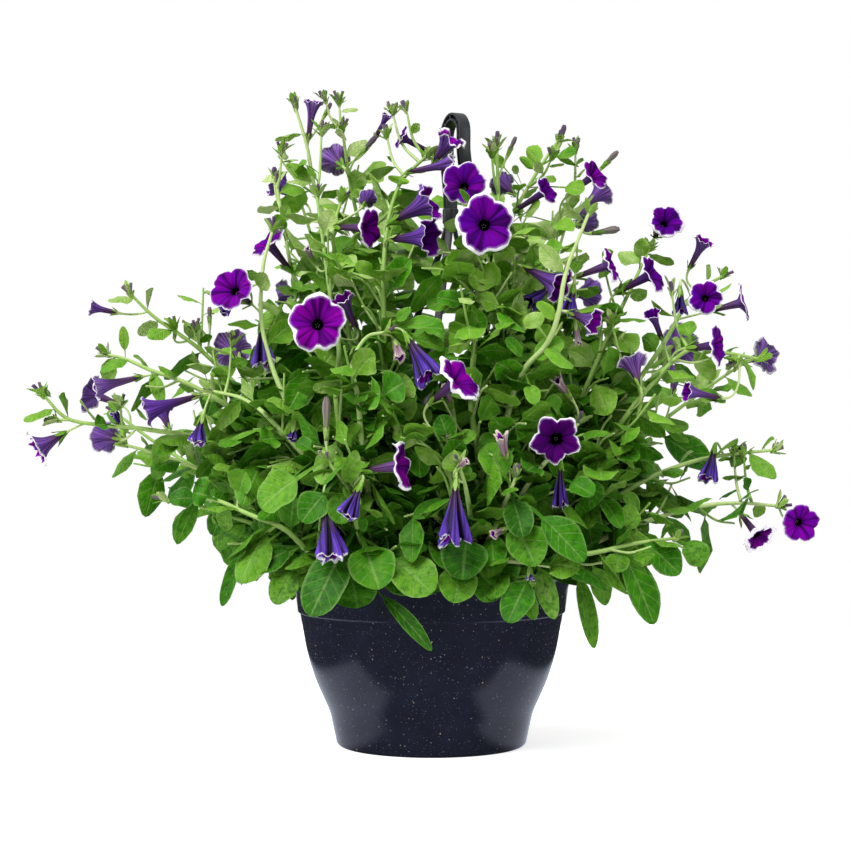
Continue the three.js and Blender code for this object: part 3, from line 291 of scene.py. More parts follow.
def petalVelvet():
    look = petalFinish
    made, add, shader, place = startMaterial("petunia_petal_face_velvet")
    ray = add("Attribute", {"attribute_name": "ray"}).outputs["Vector"]
    lobe, rim, deep, tint, dark = readValues(add, "lobe", "rim", "deep", "tint", "dark")
    along = add("SeparateXYZ", links=[ray]).outputs[2]
    # Patterns run along the rays, and each bloom reads another place of them.
    other = add("VectorMath", {"operation": "SCALE"}, {0: (31.0, 17.0, 5.0), "Scale": tint})
    patterns = []
    for flat, scale, detail in look["patterns"].values():
        squeezed = add("VectorMath", timesPlus, [ray, (1.0, 1.0, flat), other])
        patterns.append(add("TexNoise", links={"Vector": squeezed, "Scale": scale, "Detail": detail}))
    veins, folds, drift, waver = patterns
    spread = add("Math", timesPlus, [drift, look["drift"], -look["drift"] / 2])
    blend = add("Math", {**plus, **clamped}, [spread, tint])
    body = add("Mix", rgba, {0: blend, 6: linear(look["violet"]), 7: linear(look["magenta"])})
    # Folds darken as painted shade in the hollows of their relief; veins and the lobes' middle lines are the petal's
    # own colour.
    for pattern, step in ((folds, "foldShadeStep"), (veins, "veinStep"), (lobe, "lobeStep")):
        low, high, strength = look[step]
        shade = add("MapRange", smooth, [pattern, low, high, 0.0, strength])
        body = add("Mix", rgba, {0: shade, 6: body, 7: linear(look["fold"])})
    body = add("Mix", rgba, {0: dark, 6: body, 7: linear(look["fold"])})
    # The white rim: its inner edge wanders, and it is wider in the notches.
    wander = add("MapRange", links=[waver, 0.3, 0.7, 0.35, 1.35])
    notched = add("MapRange", links=[lobe, 0.0, 0.6, 1.3, 0.95])
    width = add("Math", times, [rim, wander])
    wide = add("Math", timesPlus, [width, notched, along])
    # The throat is black with streaks that run out along the veins, inside a wider ring of painted shade.
    past = add("Math", minus, [along, deep])
    streaked = add("Math", timesPlus, [folds, 0.16, past])
    for pattern, steps in ((wide, "rimSteps"), (streaked, "throatSteps")):
        for low, high, strength, colour in look[steps]:
            part = add("MapRange", smooth, [pattern, low, high, 0.0, strength])
            body = add("Mix", rgba, {0: part, 6: body, 7: linear(look[colour])})
    cells = add("TexNoise", links={"Vector": place, "Scale": perSize(look["cellSize"]), "Detail": 2.0})
    relief = add("Math", timesPlus, [cells, look["cellHeight"], veins])
    relief = add("Math", timesPlus, [folds, look["foldHeight"], relief])
    bump = add("Bump", links={
        "Strength": look["bumpStrength"], "Distance": look["bumpHeight"] * mm, "Height": relief})
    feedNode(shader, {"Base Color": body, "Normal": bump, "Roughness": look["roughness"],
                      "Specular IOR Level": look["specular"]})
    return made


# Skins with lengthwise veins and folds. ramp runs from the stalk to the free end; vein is the colour of the veins
# and of the furrows, and grooveShade how dark the furrows are, as painted shade; rim whitens the free end; dusk is a
# second ramp, mixed in by tint.
skinFinishes = {
    # The petal's back and tube: no velvet, brown-violet at the calyx, dark veins, some blooms lavender.
    "back": {
        "name": "petunia_petal_back_veined", "vein": "1a0634", "veinDepth": 0.8,
        "veinScale": 8.0, "stretch": 0.1,
        "ramp": [(0, "6f7048"), (0.1, "4c2c38"), (0.36, "562c64"), (0.62, "5a2a96"), (0.86, "6e36b6"),
                 (1, "9c70d2")],
        "dusk": [(0, "8a9660"), (0.12, "74586c"), (0.45, "865c94"), (0.8, "9466c2"), (1, "bc9cdc")],
        "grooveShade": 0.4, "rim": "ece4f4", "rimWander": 0.0, "roughness": 0.6, "sheen": 0.02,
    },
    # A wilted bloom, limp and folded: brown-violet at the stalk, violet-blue ridges, furrows near black with painted
    # shade.
    "wilted": {
        "name": "petunia_petal_wilted_folded", "vein": "04010f", "veinDepth": 0.8,
        "veinScale": 5.0, "stretch": 0.14,
        "ramp": [(0, "40282e"), (0.15, "583a46"), (0.38, "644484"), (0.6, "5430a8"), (1, "6c44c4")],
        "grooveShade": 1.0, "rim": "f4eefb", "rimWander": 0.14, "roughness": 0.5, "sheen": 0.0,
    },
    # A withered tube, dry and papery: pinkish cream with brown streaks and a frayed pale end.
    "husk": {
        "name": "petunia_husk_withered_papery", "vein": "5a3a4a", "veinDepth": 0.7,
        "veinScale": 7.0, "stretch": 0.2,
        "ramp": [(0, "8b8a5c"), (0.3, "9c7f80"), (0.7, "a88aa0"), (1, "d9cdb8")],
        "grooveShade": 0.4, "rim": "e6dcc8", "rimWander": 0.1, "roughness": 0.7, "sheen": 0.2,
    },
    # A bud, pleated and downy: green at its foot, dusky violet to its tip. It has no white rim.
    "bud": {
        "name": "petunia_bud_pleated_downy", "vein": "4a3a50", "veinDepth": 0.5,
        "veinScale": 7.0, "stretch": 0.2,
        "ramp": [(0, "7f9c4c"), (0.5, "8c9464"), (1, "94807a")],
        "dusk": [(0, "74805a"), (0.4, "6d4f7c"), (1, "4a2a6e")],
        "grooveShade": 0.5, "rim": None, "roughness": 0.6, "sheen": 0.3,
    },
}


def veinedSkin(look):
    made, add, shader, place = startMaterial(look["name"])
    ray = add("Attribute", {"attribute_name": "ray"}).outputs["Vector"]
    lobe, rim, tint = readValues(add, "lobe", "rim", "tint")
    along = add("SeparateXYZ", links=[ray]).outputs[2]
    fibres = add("VectorMath", times, [ray, (1.0, 1.0, look["stretch"])])
    veins = add("TexNoise", links={"Vector": fibres, "Scale": look["veinScale"], "Detail": 4.0})
    ramps = [fillRamp(add("ValToRGB", links=[along]), stops)
             for stops in (look["ramp"], look.get("dusk", look["ramp"]))]
    body = add("Mix", rgba, {0: tint, 6: ramps[0], 7: ramps[1]})
    # Veins darken as the skin's own colour; the furrows between the lobes darken as painted shade.
    for pattern, low, high, strength in (
            (veins, 0.58, 0.36, look["veinDepth"]), (lobe, 0.74, 0.3, look["grooveShade"])):
        dark = add("MapRange", smooth, [pattern, low, high, 0.0, strength])
        body = add("Mix", rgba, {0: dark, 6: body, 7: linear(look["vein"])})
    if look["rim"]:
        patch = add("TexNoise", links={"Vector": place, "Scale": perSize(5), "Detail": 3.0})
        worn = add("Math", timesPlus, [patch, look["rimWander"], along])
        rise = add("Math", plus, [worn, rim])
        white = add("MapRange", smooth, [
            rise, 0.99 + look["rimWander"] / 2, 1.02 + look["rimWander"] / 2, 0.0, 0.95])
        body = add("Mix", rgba, {0: white, 6: body, 7: linear(look["rim"])})
    bump = add("Bump", links={"Strength": 0.7, "Distance": 0.6 * mm, "Height": veins})
    feedNode(shader, {
        "Base Color": body, "Normal": bump, "Roughness": look["roughness"], "Specular IOR Level": 0.14,
        "Sheen Weight": look["sheen"], "Sheen Tint": linear("d8ccf0")})
    return made


# Pollen on anthers and the stigma's wet tip: small pale straw beads.
def pollenBead():
    made, add, shader, place = startMaterial("petunia_anther_pollen")
    grain = add("TexNoise", links={"Vector": place, "Scale": perSize(0.5), "Detail": 2.0})
    colour = add("Mix", rgba, {0: grain, 6: linear("5f586c"), 7: linear("a8a294")})
    bump = add("Bump", links={"Strength": 0.5, "Distance": 0.2 * mm, "Height": grain})
    feedNode(shader, {"Base Color": colour, "Normal": bump, "Roughness": 0.8})
    return made


# Studio paper, matt and seamless: white to the eye. To glossy rays it shows a painted reflection, a bright sheet
# between dark edges as on a small table in a dark room, which the pot mirrors. Edges are places from the middle, in
# metres.
paperSheet = {
    "dark": "f4f4f4", "light": "fbfbfb", "tooth": 4, "glow": 0.62, "paintedReflection": "dfe6f8",
    "gap": (0.07, 0.1), "side": (0.3, 0.23), "front": (-0.165, -0.125), "sheetLight": 0.85, "roomLight": 0.05,
}


def studioPaper():
    look = paperSheet
    made, add, shader, place = startMaterial("studio_paper_matt")
    tooth = add("TexNoise", links={"Vector": place, "Scale": perSize(look["tooth"]), "Detail": 2.0})
    colour = add("Mix", rgba, {0: tooth, 6: linear(look["dark"]), 7: linear(look["light"])})
    feedNode(shader, {"Base Color": colour, "Roughness": 0.9, "Specular IOR Level": 0.1})
    rays = add("LightPath")
    glow = add("Math", times, [rays.outputs["Is Camera Ray"], look["glow"]])
    glowing = add("Emission", links={"Strength": glow})
    lit = add("AddShader", links=[shader, glowing])
    # Glossy rays see a painted reflection instead of the paper: a bright sheet between dark edges.
    parts = add("SeparateXYZ", links=[place])
    across = add("Math", {"operation": "ABSOLUTE"}, [parts])
    sheet = look["sheetLight"]
    for coordinate, edge in ((across, "gap"), (across, "side"), (parts.outputs[1], "front")):
        inside = add("MapRange", smooth, [coordinate, look[edge][0], look[edge][1]])
        sheet = add("Math", times, [inside, sheet])
    sheet = add("Math", plus, [sheet, look["roomLight"]])
    paintedReflection = add("Emission", links={"Color": linear(look["paintedReflection"]), "Strength": sheet})
    both = add("MixShader", links=[rays.outputs["Is Glossy Ray"], lit, paintedReflection])
    feedNode(next(node for node in made.node_tree.nodes if node.type == "OUTPUT_MATERIAL"), {"Surface": both})
    return made


finishes = {
    "pot": mouldedPotPlastic(), "hanger": mouldedHangerPlastic(), "soil": peatSoil(), "leaf": leafBlade(),
    "stem": downyStem(), "face": petalVelvet(), "pollen": pollenBead(), "paper": studioPaper(),
    **{name: veinedSkin(look) for name, look in skinFinishes.items()},
}
print("materials:", len(finishes))

# The plants. A stem is a route and what it carries. Points are [across, up, toward] in millimetres, as
# sighted on the plane of the pot's axis. A bloom is [kind, across, up, toward, heading, pitch, radius,
# length]: the middle of its mouth, then where it faces, in degrees. Leaves are those that the photograph
# shows, each as [foot across, foot up, tip across, tip up, toward, width].
plants = [
    {"name": "front_left", "turn": 228, "stems": [
        [[[-91, 243, 120], [-156, 318, 110], [-186, 343, 90], [-219, 352, 70]], [
            ["horn", -287, 332, 62, -82, -16, 15, 56], ["limp", -236, 300, 84, -30, -66, 9, 30],
        ]],
        [[[-101, 273, 110], [-146, 343, 110], [-169, 413, 95], [-169, 473, 80], [-159, 513, 60]], [
            ["open", -201, 455, 112, -25, 18, 22, 38], ["limp", -210, 430, 80, -70, -45, 7, 22],
            ["limp", -169, 378, 100, 15, -75, 12, 42], ["limp", -141, 303, 140, -20, -60, 5, 18],
        ]],
        [[[-81, 263, 130], [-96, 343, 140], [-93, 393, 118], [-101, 443, 85], [-109, 503, 60], [-115, 548, 40]], [
            ["open", -114, 420, 155, 5, 6, 27, 40], ["horn", -90, 446, 102, -40, 55, 12, 36],
            ["husk", -124, 495, 58, -30, 50, 4, 16],
        ]],
        [[[-66, 263, 150], [-74, 343, 160], [-80, 378, 155], [-66, 405, 150], [-46, 411, 155]], [
            ["limp", 1, 365, 175, 62, -55, 14, 50], ["husk", -30, 384, 168, 30, -50, 6, 24],
        ]],
        [[[-69, 198, 150], [-79, 233, 175], [-88, 260, 188], [-106, 283, 186]], [
            ["bud", -106, 346, 184, 0, 82, 5, 40], ["limp", -98, 183, 202, 40, -74, 15, 54],
        ]],
        [[[-59, 203, 140], [-71, 238, 175], [-79, 258, 187]], [
            ["open", -29, 278, 197, 75, 8, 23, 38], ["limp", -84, 226, 214, -60, -66, 11, 34],
        ]],
        [[[-111, 183, 130], [-146, 213, 150], [-181, 228, 140], [-216, 243, 115], [-241, 243, 95]], []],
        [[[-58, 190, 115], [-78, 181, 150], [-92, 172, 172]], []],
        [[[-36, 243, 115], [-46, 343, 105], [-48, 443, 95], [-47, 493, 85], [-41, 533, 65], [-29, 563, 50],
            [-6, 586, 38]], [
            ["horn", 0, 542, 88, 75, 25, 21, 46], ["horn", -1, 506, 112, 62, 0, 19, 45],
            ["horn", 22, 580, 62, 80, 10, 11, 46], ["horn", 19, 606, 52, 55, 50, 17, 32],
            ["open", -31, 606, 25, -75, 25, 12, 40],
        ]],
    ], "leaves": [
        [-83, 195, -116, 136, 196, 40], [-79, 203, -56, 160, 190, 43], [-36, 193, -6, 153, 186, 42],
        [-61, 173, -76, 140, 168, 42], [-38, 165, -9, 99, 180, 15], [-195, 190, -205, 148, 150, 14],
        [-126, 170, -153, 144, 165, 26], [-131, 188, -179, 171, 160, 28], [-199, 283, -241, 251, 116, 34],
        [-226, 233, -263, 243, 104, 22], [-121, 503, -96, 538, 62, 20], [-19, 545, -31, 569, 50, 22],
        [-33, 343, -78, 340, 168, 27], [-21, 328, -23, 365, 164, 34], [-146, 315, -171, 303, 140, 26],
        [-113, 301, -138, 303, 166, 16], [-131, 263, -166, 238, 172, 40], [-111, 253, -126, 225, 186, 30],
        [-109, 253, -91, 225, 190, 26], [-78, 298, -86, 268, 186, 30], [-121, 358, -101, 371, 140, 22],
        [-40, 451, -18, 490, 110, 26], [-26, 408, 8, 422, 165, 13], [-28, 410, -18, 437, 165, 11],
        [-55, 453, -79, 482, 118, 18], [-16, 345, -50, 352, 178, 34], [-41, 353, -78, 339, 175, 24],
        [-47, 303, -88, 313, 170, 26], [-33, 253, -86, 245, 192, 24], [-29, 231, -69, 213, 196, 9],
        [-18, 418, 12, 402, 114, 24], [-18, 386, 9, 366, 122, 24], [-12, 427, 14, 414, 128, 22],
        [-20, 404, 10, 394, 132, 20],
    ]},
    {"name": "left", "turn": 172, "stems": [
        [[[-131, 243, 30], [-211, 298, 25], [-281, 313, 20], [-331, 318, 15], [-365, 325, 15], [-389, 349, 15]], [
            ["horn", -396, 293, 25, -70, -30, 20, 34], ["horn", -328, 306, -8, -140, 5, 17, 34],
            ["limp", -318, 330, 18, -50, 50, 5, 22],
        ]],
        [[[-131, 273, 50], [-191, 328, 50], [-241, 358, 45], [-281, 373, 40], [-306, 384, 35], [-324, 388, 30]], [
            ["horn", -337, 355, 50, -78, -14, 13, 46],
        ]],
        [[[-126, 283, 10], [-181, 343, -5], [-231, 393, -5], [-276, 425, -5], [-301, 449, -5]], [
            ["horn", -341, 436, 0, -80, 12, 9, 26], ["bud", -222, 436, 0, 0, 82, 3, 16],
            ["bud", -255, 420, -8, 60, 80, 3, 14],
        ]],
        [[[-131, 223, 0], [-206, 263, -15], [-271, 288, -28], [-306, 298, -40]], []],
        [[[-121, 198, 40], [-181, 220, 45], [-231, 236, 38], [-266, 243, 28]], []],
        [[[-81, 273, 0], [-101, 363, 5], [-126, 433, 10], [-139, 470, 8], [-148, 518, 0], [-155, 560, -5]], [
            ["open", -165, 502, 34, -55, 45, 20, 40], ["bud", -157, 576, -5, 0, 85, 3.5, 12],
        ]],
        [[[-66, 283, 10], [-79, 383, 15], [-91, 463, 30], [-99, 508, 42], [-90, 543, 30]], [
            ["open", -61, 515, 84, 62, -4, 20, 40], ["horn", -64, 545, 22, 170, 25, 10, 28],
        ]],
    ], "leaves": [
        [-241, 281, -274, 288, 50, 14], [-137, 503, -158, 533, 14, 14], [-303, 393, -309, 423, 34, 10],
        [-321, 303, -337, 318, 34, 19], [-281, 371, -271, 343, 45, 14],
    ]},
    {"name": "back_left", "turn": 112, "stems": [
        [[[-36, 263, -70], [-66, 383, -70], [-96, 493, -60], [-116, 553, -50], [-124, 595, -45], [-136, 636, -45]], [
            ["horn", -118, 642, -38, 35, 75, 11, 38], ["bud", -100, 640, -66, 75, 60, 3, 16],
        ]],
        [[[-31, 283, -60], [-51, 403, -55], [-69, 503, -45], [-81, 558, -40], [-89, 613, -40]], [
            ["horn", -97, 583, -52, -160, 20, 17, 30], ["bud", -54, 607, -30, 65, 40, 4, 26],
            ["horn", -44, 628, -35, 55, 55, 6, 26],
        ]],
        [[[-60, 235, -130], [-110, 290, -180], [-155, 335, -215], [-185, 365, -235]], [
            ["open", -200, 395, -262, -160, 25, 24, 40], ["open", -120, 325, -235, 170, 10, 25, 42],
        ]],
        [[[-30, 245, -150], [-48, 310, -205], [-55, 365, -240], [-62, 400, -260]], [
            ["open", -35, 415, -285, 170, 12, 26, 42], ["limp", -75, 330, -262, 185, -70, 13, 46],
        ]],
        [[[-45, 290, -110], [-75, 400, -135], [-110, 480, -150], [-130, 540, -140]], [
            ["open", -88, 462, -205, 175, 15, 25, 42], ["horn", -155, 560, -150, -100, 35, 17, 38],
            ["horn", -150, 450, -170, -110, 5, 16, 40],
        ]],
        [[[-80, 204, -135], [-122, 196, -178], [-146, 176, -204]], []],
        [[[-150, 215, -70], [-220, 265, -110], [-275, 300, -140], [-315, 330, -150]], [
            ["open", -340, 350, -165, -110, 20, 22, 38], ["horn", -270, 335, -160, -150, 45, 14, 34],
        ]],
    ], "leaves": [
        [-81, 545, -66, 569, -38, 14], [-116, 560, -149, 580, -46, 15], [-190, 300, -235, 275, -215, 38],
        [-60, 330, -25, 300, -250, 40], [-90, 250, -130, 205, -200, 40], [-45, 215, -20, 165, -205, 42],
        [-160, 230, -205, 190, -140, 38],
    ]},
    {"name": "back_right", "turn": 50, "stems": [
        [[[39, 293, -40], [54, 403, -35], [69, 483, -20], [82, 528, 0], [105, 570, 0], [127, 603, 0]], [
            ["horn", 70, 560, -14, -150, 30, 14, 30], ["open", 116, 553, 44, 55, 25, 15, 42],
            ["bud", 133, 618, 4, 60, 75, 3.5, 18],
        ]],
        [[[54, 273, -60], [89, 393, -55], [117, 488, -40], [134, 538, -20], [160, 566, -30]], [
            ["open", 164, 569, 20, 50, 28, 17, 34], ["bud", 186, 592, -25, 70, 45, 4, 24],
            ["horn", 156, 523, -38, 150, 15, 14, 30],
        ]],
        [[[105, 235, -95], [160, 300, -140], [205, 350, -170], [235, 375, -185]], [
            ["open", 250, 400, -205, 140, 20, 24, 40], ["open", 175, 325, -205, 165, 5, 24, 40],
        ]],
        [[[60, 250, -145], [78, 315, -200], [92, 365, -235], [100, 395, -250]], [
            ["open", 85, 415, -275, 185, 15, 26, 42], ["limp", 115, 335, -262, 175, -70, 13, 44],
        ]],
        [[[70, 290, -95], [95, 400, -120], [120, 470, -130], [140, 535, -115]], [
            ["open", 95, 475, -165, 180, 12, 25, 42], ["horn", 172, 552, -138, 118, 36, 16, 36],
            ["horn", 160, 450, -150, 130, 5, 17, 38],
        ]],
        [[[95, 208, -125], [132, 198, -164], [156, 174, -190]], []],
        [[[138, 236, -95], [205, 300, -118], [262, 345, -120], [305, 375, -110]], [
            ["open", 335, 388, -122, 115, 15, 21, 36], ["horn", 245, 370, -138, 160, 50, 13, 32],
        ]],
    ], "leaves": [
        [99, 498, 109, 538, 40, 22], [134, 531, 149, 553, -10, 15], [60, 215, 85, 165, -205, 42],
        [95, 300, 135, 275, -235, 38], [160, 250, 200, 210, -170, 38], [230, 300, 275, 275, -120, 34],
        [40, 330, 5, 300, -240, 38], [132, 540, 152, 552, 30, 20], [112, 563, 86, 588, 0, 9],
        [63, 571, 56, 593, 10, 12], [66, 570, 80, 582, 10, 8], [125, 573, 146, 592, 20, 14],
        [66, 537, 89, 560, 60, 14], [112, 505, 140, 512, 60, 18], [74, 492, 106, 497, 70, 14],
    ]},
    {"name": "right", "turn": -12, "stems": [
        [[[114, 263, 40], [149, 343, 50], [177, 408, 45], [201, 458, 35], [217, 493, 15]], [
            ["open", 235, 522, 38, 12, 18, 18, 36], ["open", 222, 470, 62, 62, 25, 20, 42],
        ]],
        [[[129, 258, 20], [189, 338, 25], [231, 398, 20], [257, 443, 10], [276, 458, 0], [291, 467, -5]], [
            ["horn", 273, 503, -4, 45, 55, 11, 32], ["open", 274, 446, 66, -4, 6, 17, 36],
            ["open", 313, 441, 28, 78, 14, 19, 32], ["limp", 249, 430, 40, 0, -80, 8, 26],
        ]],
        [[[129, 233, 70], [177, 303, 80], [219, 358, 80], [257, 393, 80], [294, 390, 70], [327, 384, 60]], [
            ["open", 287, 398, 112, 65, 4, 20, 30], ["horn", 200, 382, 92, -150, 62, 16, 28],
            ["horn", 254, 352, 104, -72, 10, 10, 36], ["horn", 220, 430, 76, -35, 50, 9, 30],
        ]],
        [[[139, 213, 40], [204, 258, 50], [259, 281, 50], [302, 289, 45], [343, 293, 40]], [
            ["limp", 277, 263, 64, -35, -68, 10, 36],
        ]],
        [[[144, 193, 70], [204, 218, 75], [259, 235, 70], [304, 240, 65], [347, 237, 55]], [
            ["open", 328, 204, 88, 35, -42, 18, 34], ["open", 370, 220, 76, 14, -4, 19, 34],
        ]],
        [[[112, 185, 115], [160, 190, 130], [205, 200, 120], [245, 205, 100]], []],
    ], "leaves": [
        [142, 165, 159, 107, 132, 17], [191, 190, 217, 128, 122, 30], [209, 207, 244, 171, 118, 32],
        [241, 223, 271, 181, 100, 28], [169, 263, 186, 218, 132, 19], [187, 218, 184, 173, 128, 23],
        [201, 481, 211, 511, 40, 15], [261, 328, 291, 341, 85, 13], [162, 291, 169, 263, 150, 34],
        [169, 413, 174, 445, 62, 30], [169, 293, 205, 282, 125, 17], [214, 218, 189, 243, 125, 20],
        [150, 468, 190, 458, 60, 14], [142, 485, 168, 498, 70, 16], [172, 420, 200, 392, 60, 26],
        [160, 445, 184, 428, 70, 20], [256, 398, 250, 424, 60, 20],
    ]},
    {"name": "front_right", "turn": -66, "stems": [
        [[[59, 253, 110], [84, 358, 135], [114, 398, 150], [126, 428, 160], [131, 458, 160], [137, 481, 148],
            [146, 503, 120], [157, 530, 88]], [
            ["open", 180, 479, 112, 72, 18, 18, 36], ["limp", 137, 428, 122, -30, -70, 9, 30],
            ["horn", 163, 420, 148, 62, -22, 14, 28], ["bud", 188, 514, 74, 80, 8, 5, 27],
            ["husk", 146, 398, 118, 20, -78, 4, 24],
        ]],
        [[[47, 263, 125], [39, 343, 140], [47, 423, 120], [63, 483, 84], [67, 528, 48], [66, 568, 34],
            [65, 596, 28]], [
            ["open", 53, 520, 150, 3, 5, 28, 42], ["open", 32, 560, 94, -4, 18, 22, 38],
            ["bud", 66, 612, 28, 0, 84, 3, 14], ["bud", 84, 606, 32, 50, 60, 3, 20],
        ]],
        [[[24, 223, 150], [19, 263, 165], [17, 300, 172]], [
            ["open", 29, 366, 186, 58, 35, 25, 40], ["husk", 12, 358, 150, -40, 60, 4, 24],
        ]],
        [[[39, 213, 150], [34, 253, 180], [27, 277, 192]], [
            ["limp", 21, 201, 210, -15, -80, 16, 58], ["husk", 34, 283, 205, 60, 40, 4, 12],
        ]],
        [[[54, 198, 140], [72, 238, 170], [84, 266, 180]], [
            ["husk", 67, 309, 186, -28, 58, 7, 30], ["husk", 60, 208, 188, -60, -20, 5, 16],
        ]],
        [[[69, 213, 120], [99, 263, 130], [129, 298, 122], [147, 320, 120]], [
            ["open", 124, 303, 170, -4, -6, 24, 40], ["limp", 128, 236, 152, -8, -82, 8, 44],
            ["husk", 122, 365, 142, -50, 40, 6, 28],
        ]],
        [[[60, 181, 150], [96, 180, 162], [132, 174, 166]], [
            ["limp", 98, 163, 184, 0, -70, 4, 12],
        ]],
        [[[67, 303, 100], [72, 383, 92], [79, 443, 88], [85, 475, 82]], [
            ["horn", 129, 456, 116, 62, -28, 18, 44], ["limp", 98, 440, 74, -60, -35, 9, 32],
        ]],
    ], "leaves": [
        [24, 208, 31, 171, 184, 43], [19, 183, 24, 148, 176, 36], [59, 175, 53, 145, 172, 30],
        [104, 168, 79, 126, 186, 30], [104, 188, 147, 173, 180, 33], [117, 235, 144, 187, 186, 32],
        [69, 481, 10, 481, 122, 30], [74, 475, 47, 453, 112, 30], [17, 303, 6, 333, 172, 22],
        [27, 303, 46, 308, 174, 14], [79, 323, 61, 283, 150, 34], [74, 248, 89, 211, 188, 28],
        [89, 223, 99, 183, 184, 38], [131, 258, 159, 248, 164, 22], [129, 328, 109, 343, 140, 26],
        [84, 348, 77, 391, 142, 24], [99, 371, 71, 408, 156, 13], [99, 398, 94, 443, 112, 33],
        [47, 443, 69, 473, 96, 32], [16, 243, -16, 225, 172, 16], [74, 263, 47, 303, 165, 32],
        [121, 285, 95, 272, 162, 26], [110, 413, 93, 433, 135, 22], [120, 420, 102, 443, 158, 13],
        [89, 398, 74, 431, 118, 22], [102, 381, 135, 403, 146, 22], [92, 368, 102, 341, 165, 15],
        [86, 343, 84, 391, 132, 21], [137, 481, 112, 493, 120, 16], [30, 492, 0, 470, 98, 22],
        [26, 455, -4, 436, 104, 24], [39, 541, 23, 562, 116, 7], [24, 391, -6, 382, 130, 22],
        [28, 440, 2, 447, 118, 20],
    ]},
]

# What single blooms differ in: rim is the share of the petal that is white, tint runs from violet to
# magenta, dark shades the whole face, point makes the lobes pointed and deep is where the throat ends.
bloomLooks = {
    "front_left_7": {"rim": 0.05, "tint": 0.65}, "front_left_3": {"rim": 0.02, "tint": 0.55},
    "front_left_14": {"rim": 0.07, "tint": 0.8}, "front_left_16": {"rim": 0.035, "tint": 0.35},
    "front_left_17": {"rim": 0.03, "tint": 0.1, "dark": 0.4}, "front_left_18": {"rim": 0.08, "tint": 0.5},
    "front_left_19": {"rim": 0.08, "tint": 0.5},
    "front_right_1": {"rim": 0.06, "tint": 0.6}, "front_right_6": {"rim": 0.055, "tint": 0.2, "dark": 0.1},
    "front_right_7": {"rim": 0.028, "tint": 0.3, "dark": 0.2}, "front_right_10": {"rim": 0.08, "tint": 0.5},
    "front_right_16": {"rim": 0.036, "tint": 0.7, "point": 0.13, "deep": 0.62, "dark": 0.78},
    "right_1": {"rim": 0.065, "tint": 0.05, "dark": 0.15}, "right_2": {"rim": 0.035, "tint": 0.1, "dark": 0.2},
    "right_4": {"rim": 0.05, "tint": 0.2}, "right_5": {"rim": 0.03, "tint": 0.7},
    "right_12": {"rim": 0.15, "tint": 0.8, "deep": 0.62, "dark": 0.35},
    "right_13": {"rim": 0.025, "tint": 0.35}, "left_1": {"rim": 0.12, "tint": 0.5}, "back_left_3": {"tint": 0.8},
}

# Stem tips with young leaves and buds, besides those at the ends of the routes.
stemTips = [
    [-374, 323, 15], [-311, 338, 20], [-256, 415, 0], [-236, 413, 0], [-106, 642, -45], [-92, 640, -45],
    [-39, 630, 20], [-25, 632, 30], [-45, 608, 35], [144, 593, -10], [305, 383, 65], [302, 291, 45],
    [312, 287, 45], [-110, 610, 20], [-150, 590, 0], [60, 590, 50], [120, 585, 30], [-200, 400, 70],
    [240, 450, 60], [180, 420, 100],
]

# How leaves follow a stem, in mm and degrees. Pairs run from its foot to its tip, and width is a share of
# the length. droopTries are tried in turn where a leaf would hit something. seeds are the first seed and
# its step from plant to plant.
leafRule = {
    "firstAt": 34, "spacing": [25, 15], "length": [58, 32], "width": [0.66, 0.5], "spread": 58, "turn": 137.5,
    "neck": 0.12, "droop": 0.34, "droopTries": [1, 0.5, 0, -0.6, -1.2], "seeds": [1000, 1000],
}
shootRule = {**leafRule, "firstAt": 10, "spacing": [15, 11], "length": [50, 28], "width": [0.7, 0.54],
             "neck": 0.14, "seeds": [9000, 200]}
innerRule = {**leafRule, "firstAt": 26, "spacing": [15, 11], "length": [58, 38], "width": [0.7, 0.6],
             "neck": 0.16, "seeds": [3000, 20]}
domeRule = {**leafRule, "firstAt": 16, "spacing": [17, 12], "length": [50, 38], "width": [0.74, 0.62],
            "neck": 0.14, "seeds": [20000, 400]}
tipRule = {**leafRule, "firstAt": 14, "spacing": [13, 9], "length": [30, 20], "width": [0.5, 0.4],
           "neck": 0.1, "seeds": [40000, 40]}
# What colours and folds a leaf: high, outer and young ones are fresh yellow-green, low and inner ones deep and old.
# Part of this is painted light and painted shade: high and outer leaves lighter, low and inner ones darker and
# dimmed. The rest is chance.
leafTones = {
    "least": 0.1, "outer": 0.25, "high": 0.3, "young": 0.14, "chance": 0.5, "chanceMiddle": 0.42,
    "highFrom": 190, "highSpan": 330, "outerMost": 1.3, "ageFrom": 0.5, "foldFrom": 0.2, "foldSpan": 0.6,
}
# Side shoots, inner stems and the skirt of leaves over the lip make the plants bushy.
bush = {
    "shootFirst": 44, "shootEvery": 46, "shootLast": 62, "shootLength": [74, 36], "shootTilt": 44,
    "shootRadius": 1.4, "innerRadius": 2.4, "tipRadius": 1.8, "endRadius": 1.0,
    "innerStems": 5, "innerFan": 58, "innerReach": [20, 125], "innerHigh": [240, 400], "skirt": 42,
    "skirtFoot": [138, 152], "skirtTip": [168, 188], "skirtHigh": [190, 208], "skirtLow": [160, 186],
    "skirtSeed": 950,
}
# The canopy is a dome of leafy shoots. Its reach from the middle is given at each height.
canopy = {
    "high": [178, 230, 300, 400, 500, 570], "reach": [148, 184, 198, 166, 108, 60], "wide": 1.08, "deep": 0.96,
    "spacing": 36, "layers": [1.0, 0.74], "farthest": 130, "rise": 0.16, "thinFrom": 370, "thinShare": 0.45,
}
# Where the camera stands, and the frame's own heights. seenBehind is how far behind the axis a bloom may
# stand and still show.
standing = {
    "eyeDistance": 1900, "eyeHeight": 294, "crownCircle": 72, "soilTop": 162, "stemStart": 170, "hubX": 19,
    "lipHigh": 190, "hubHigh": 519, "seenBehind": 70,
}
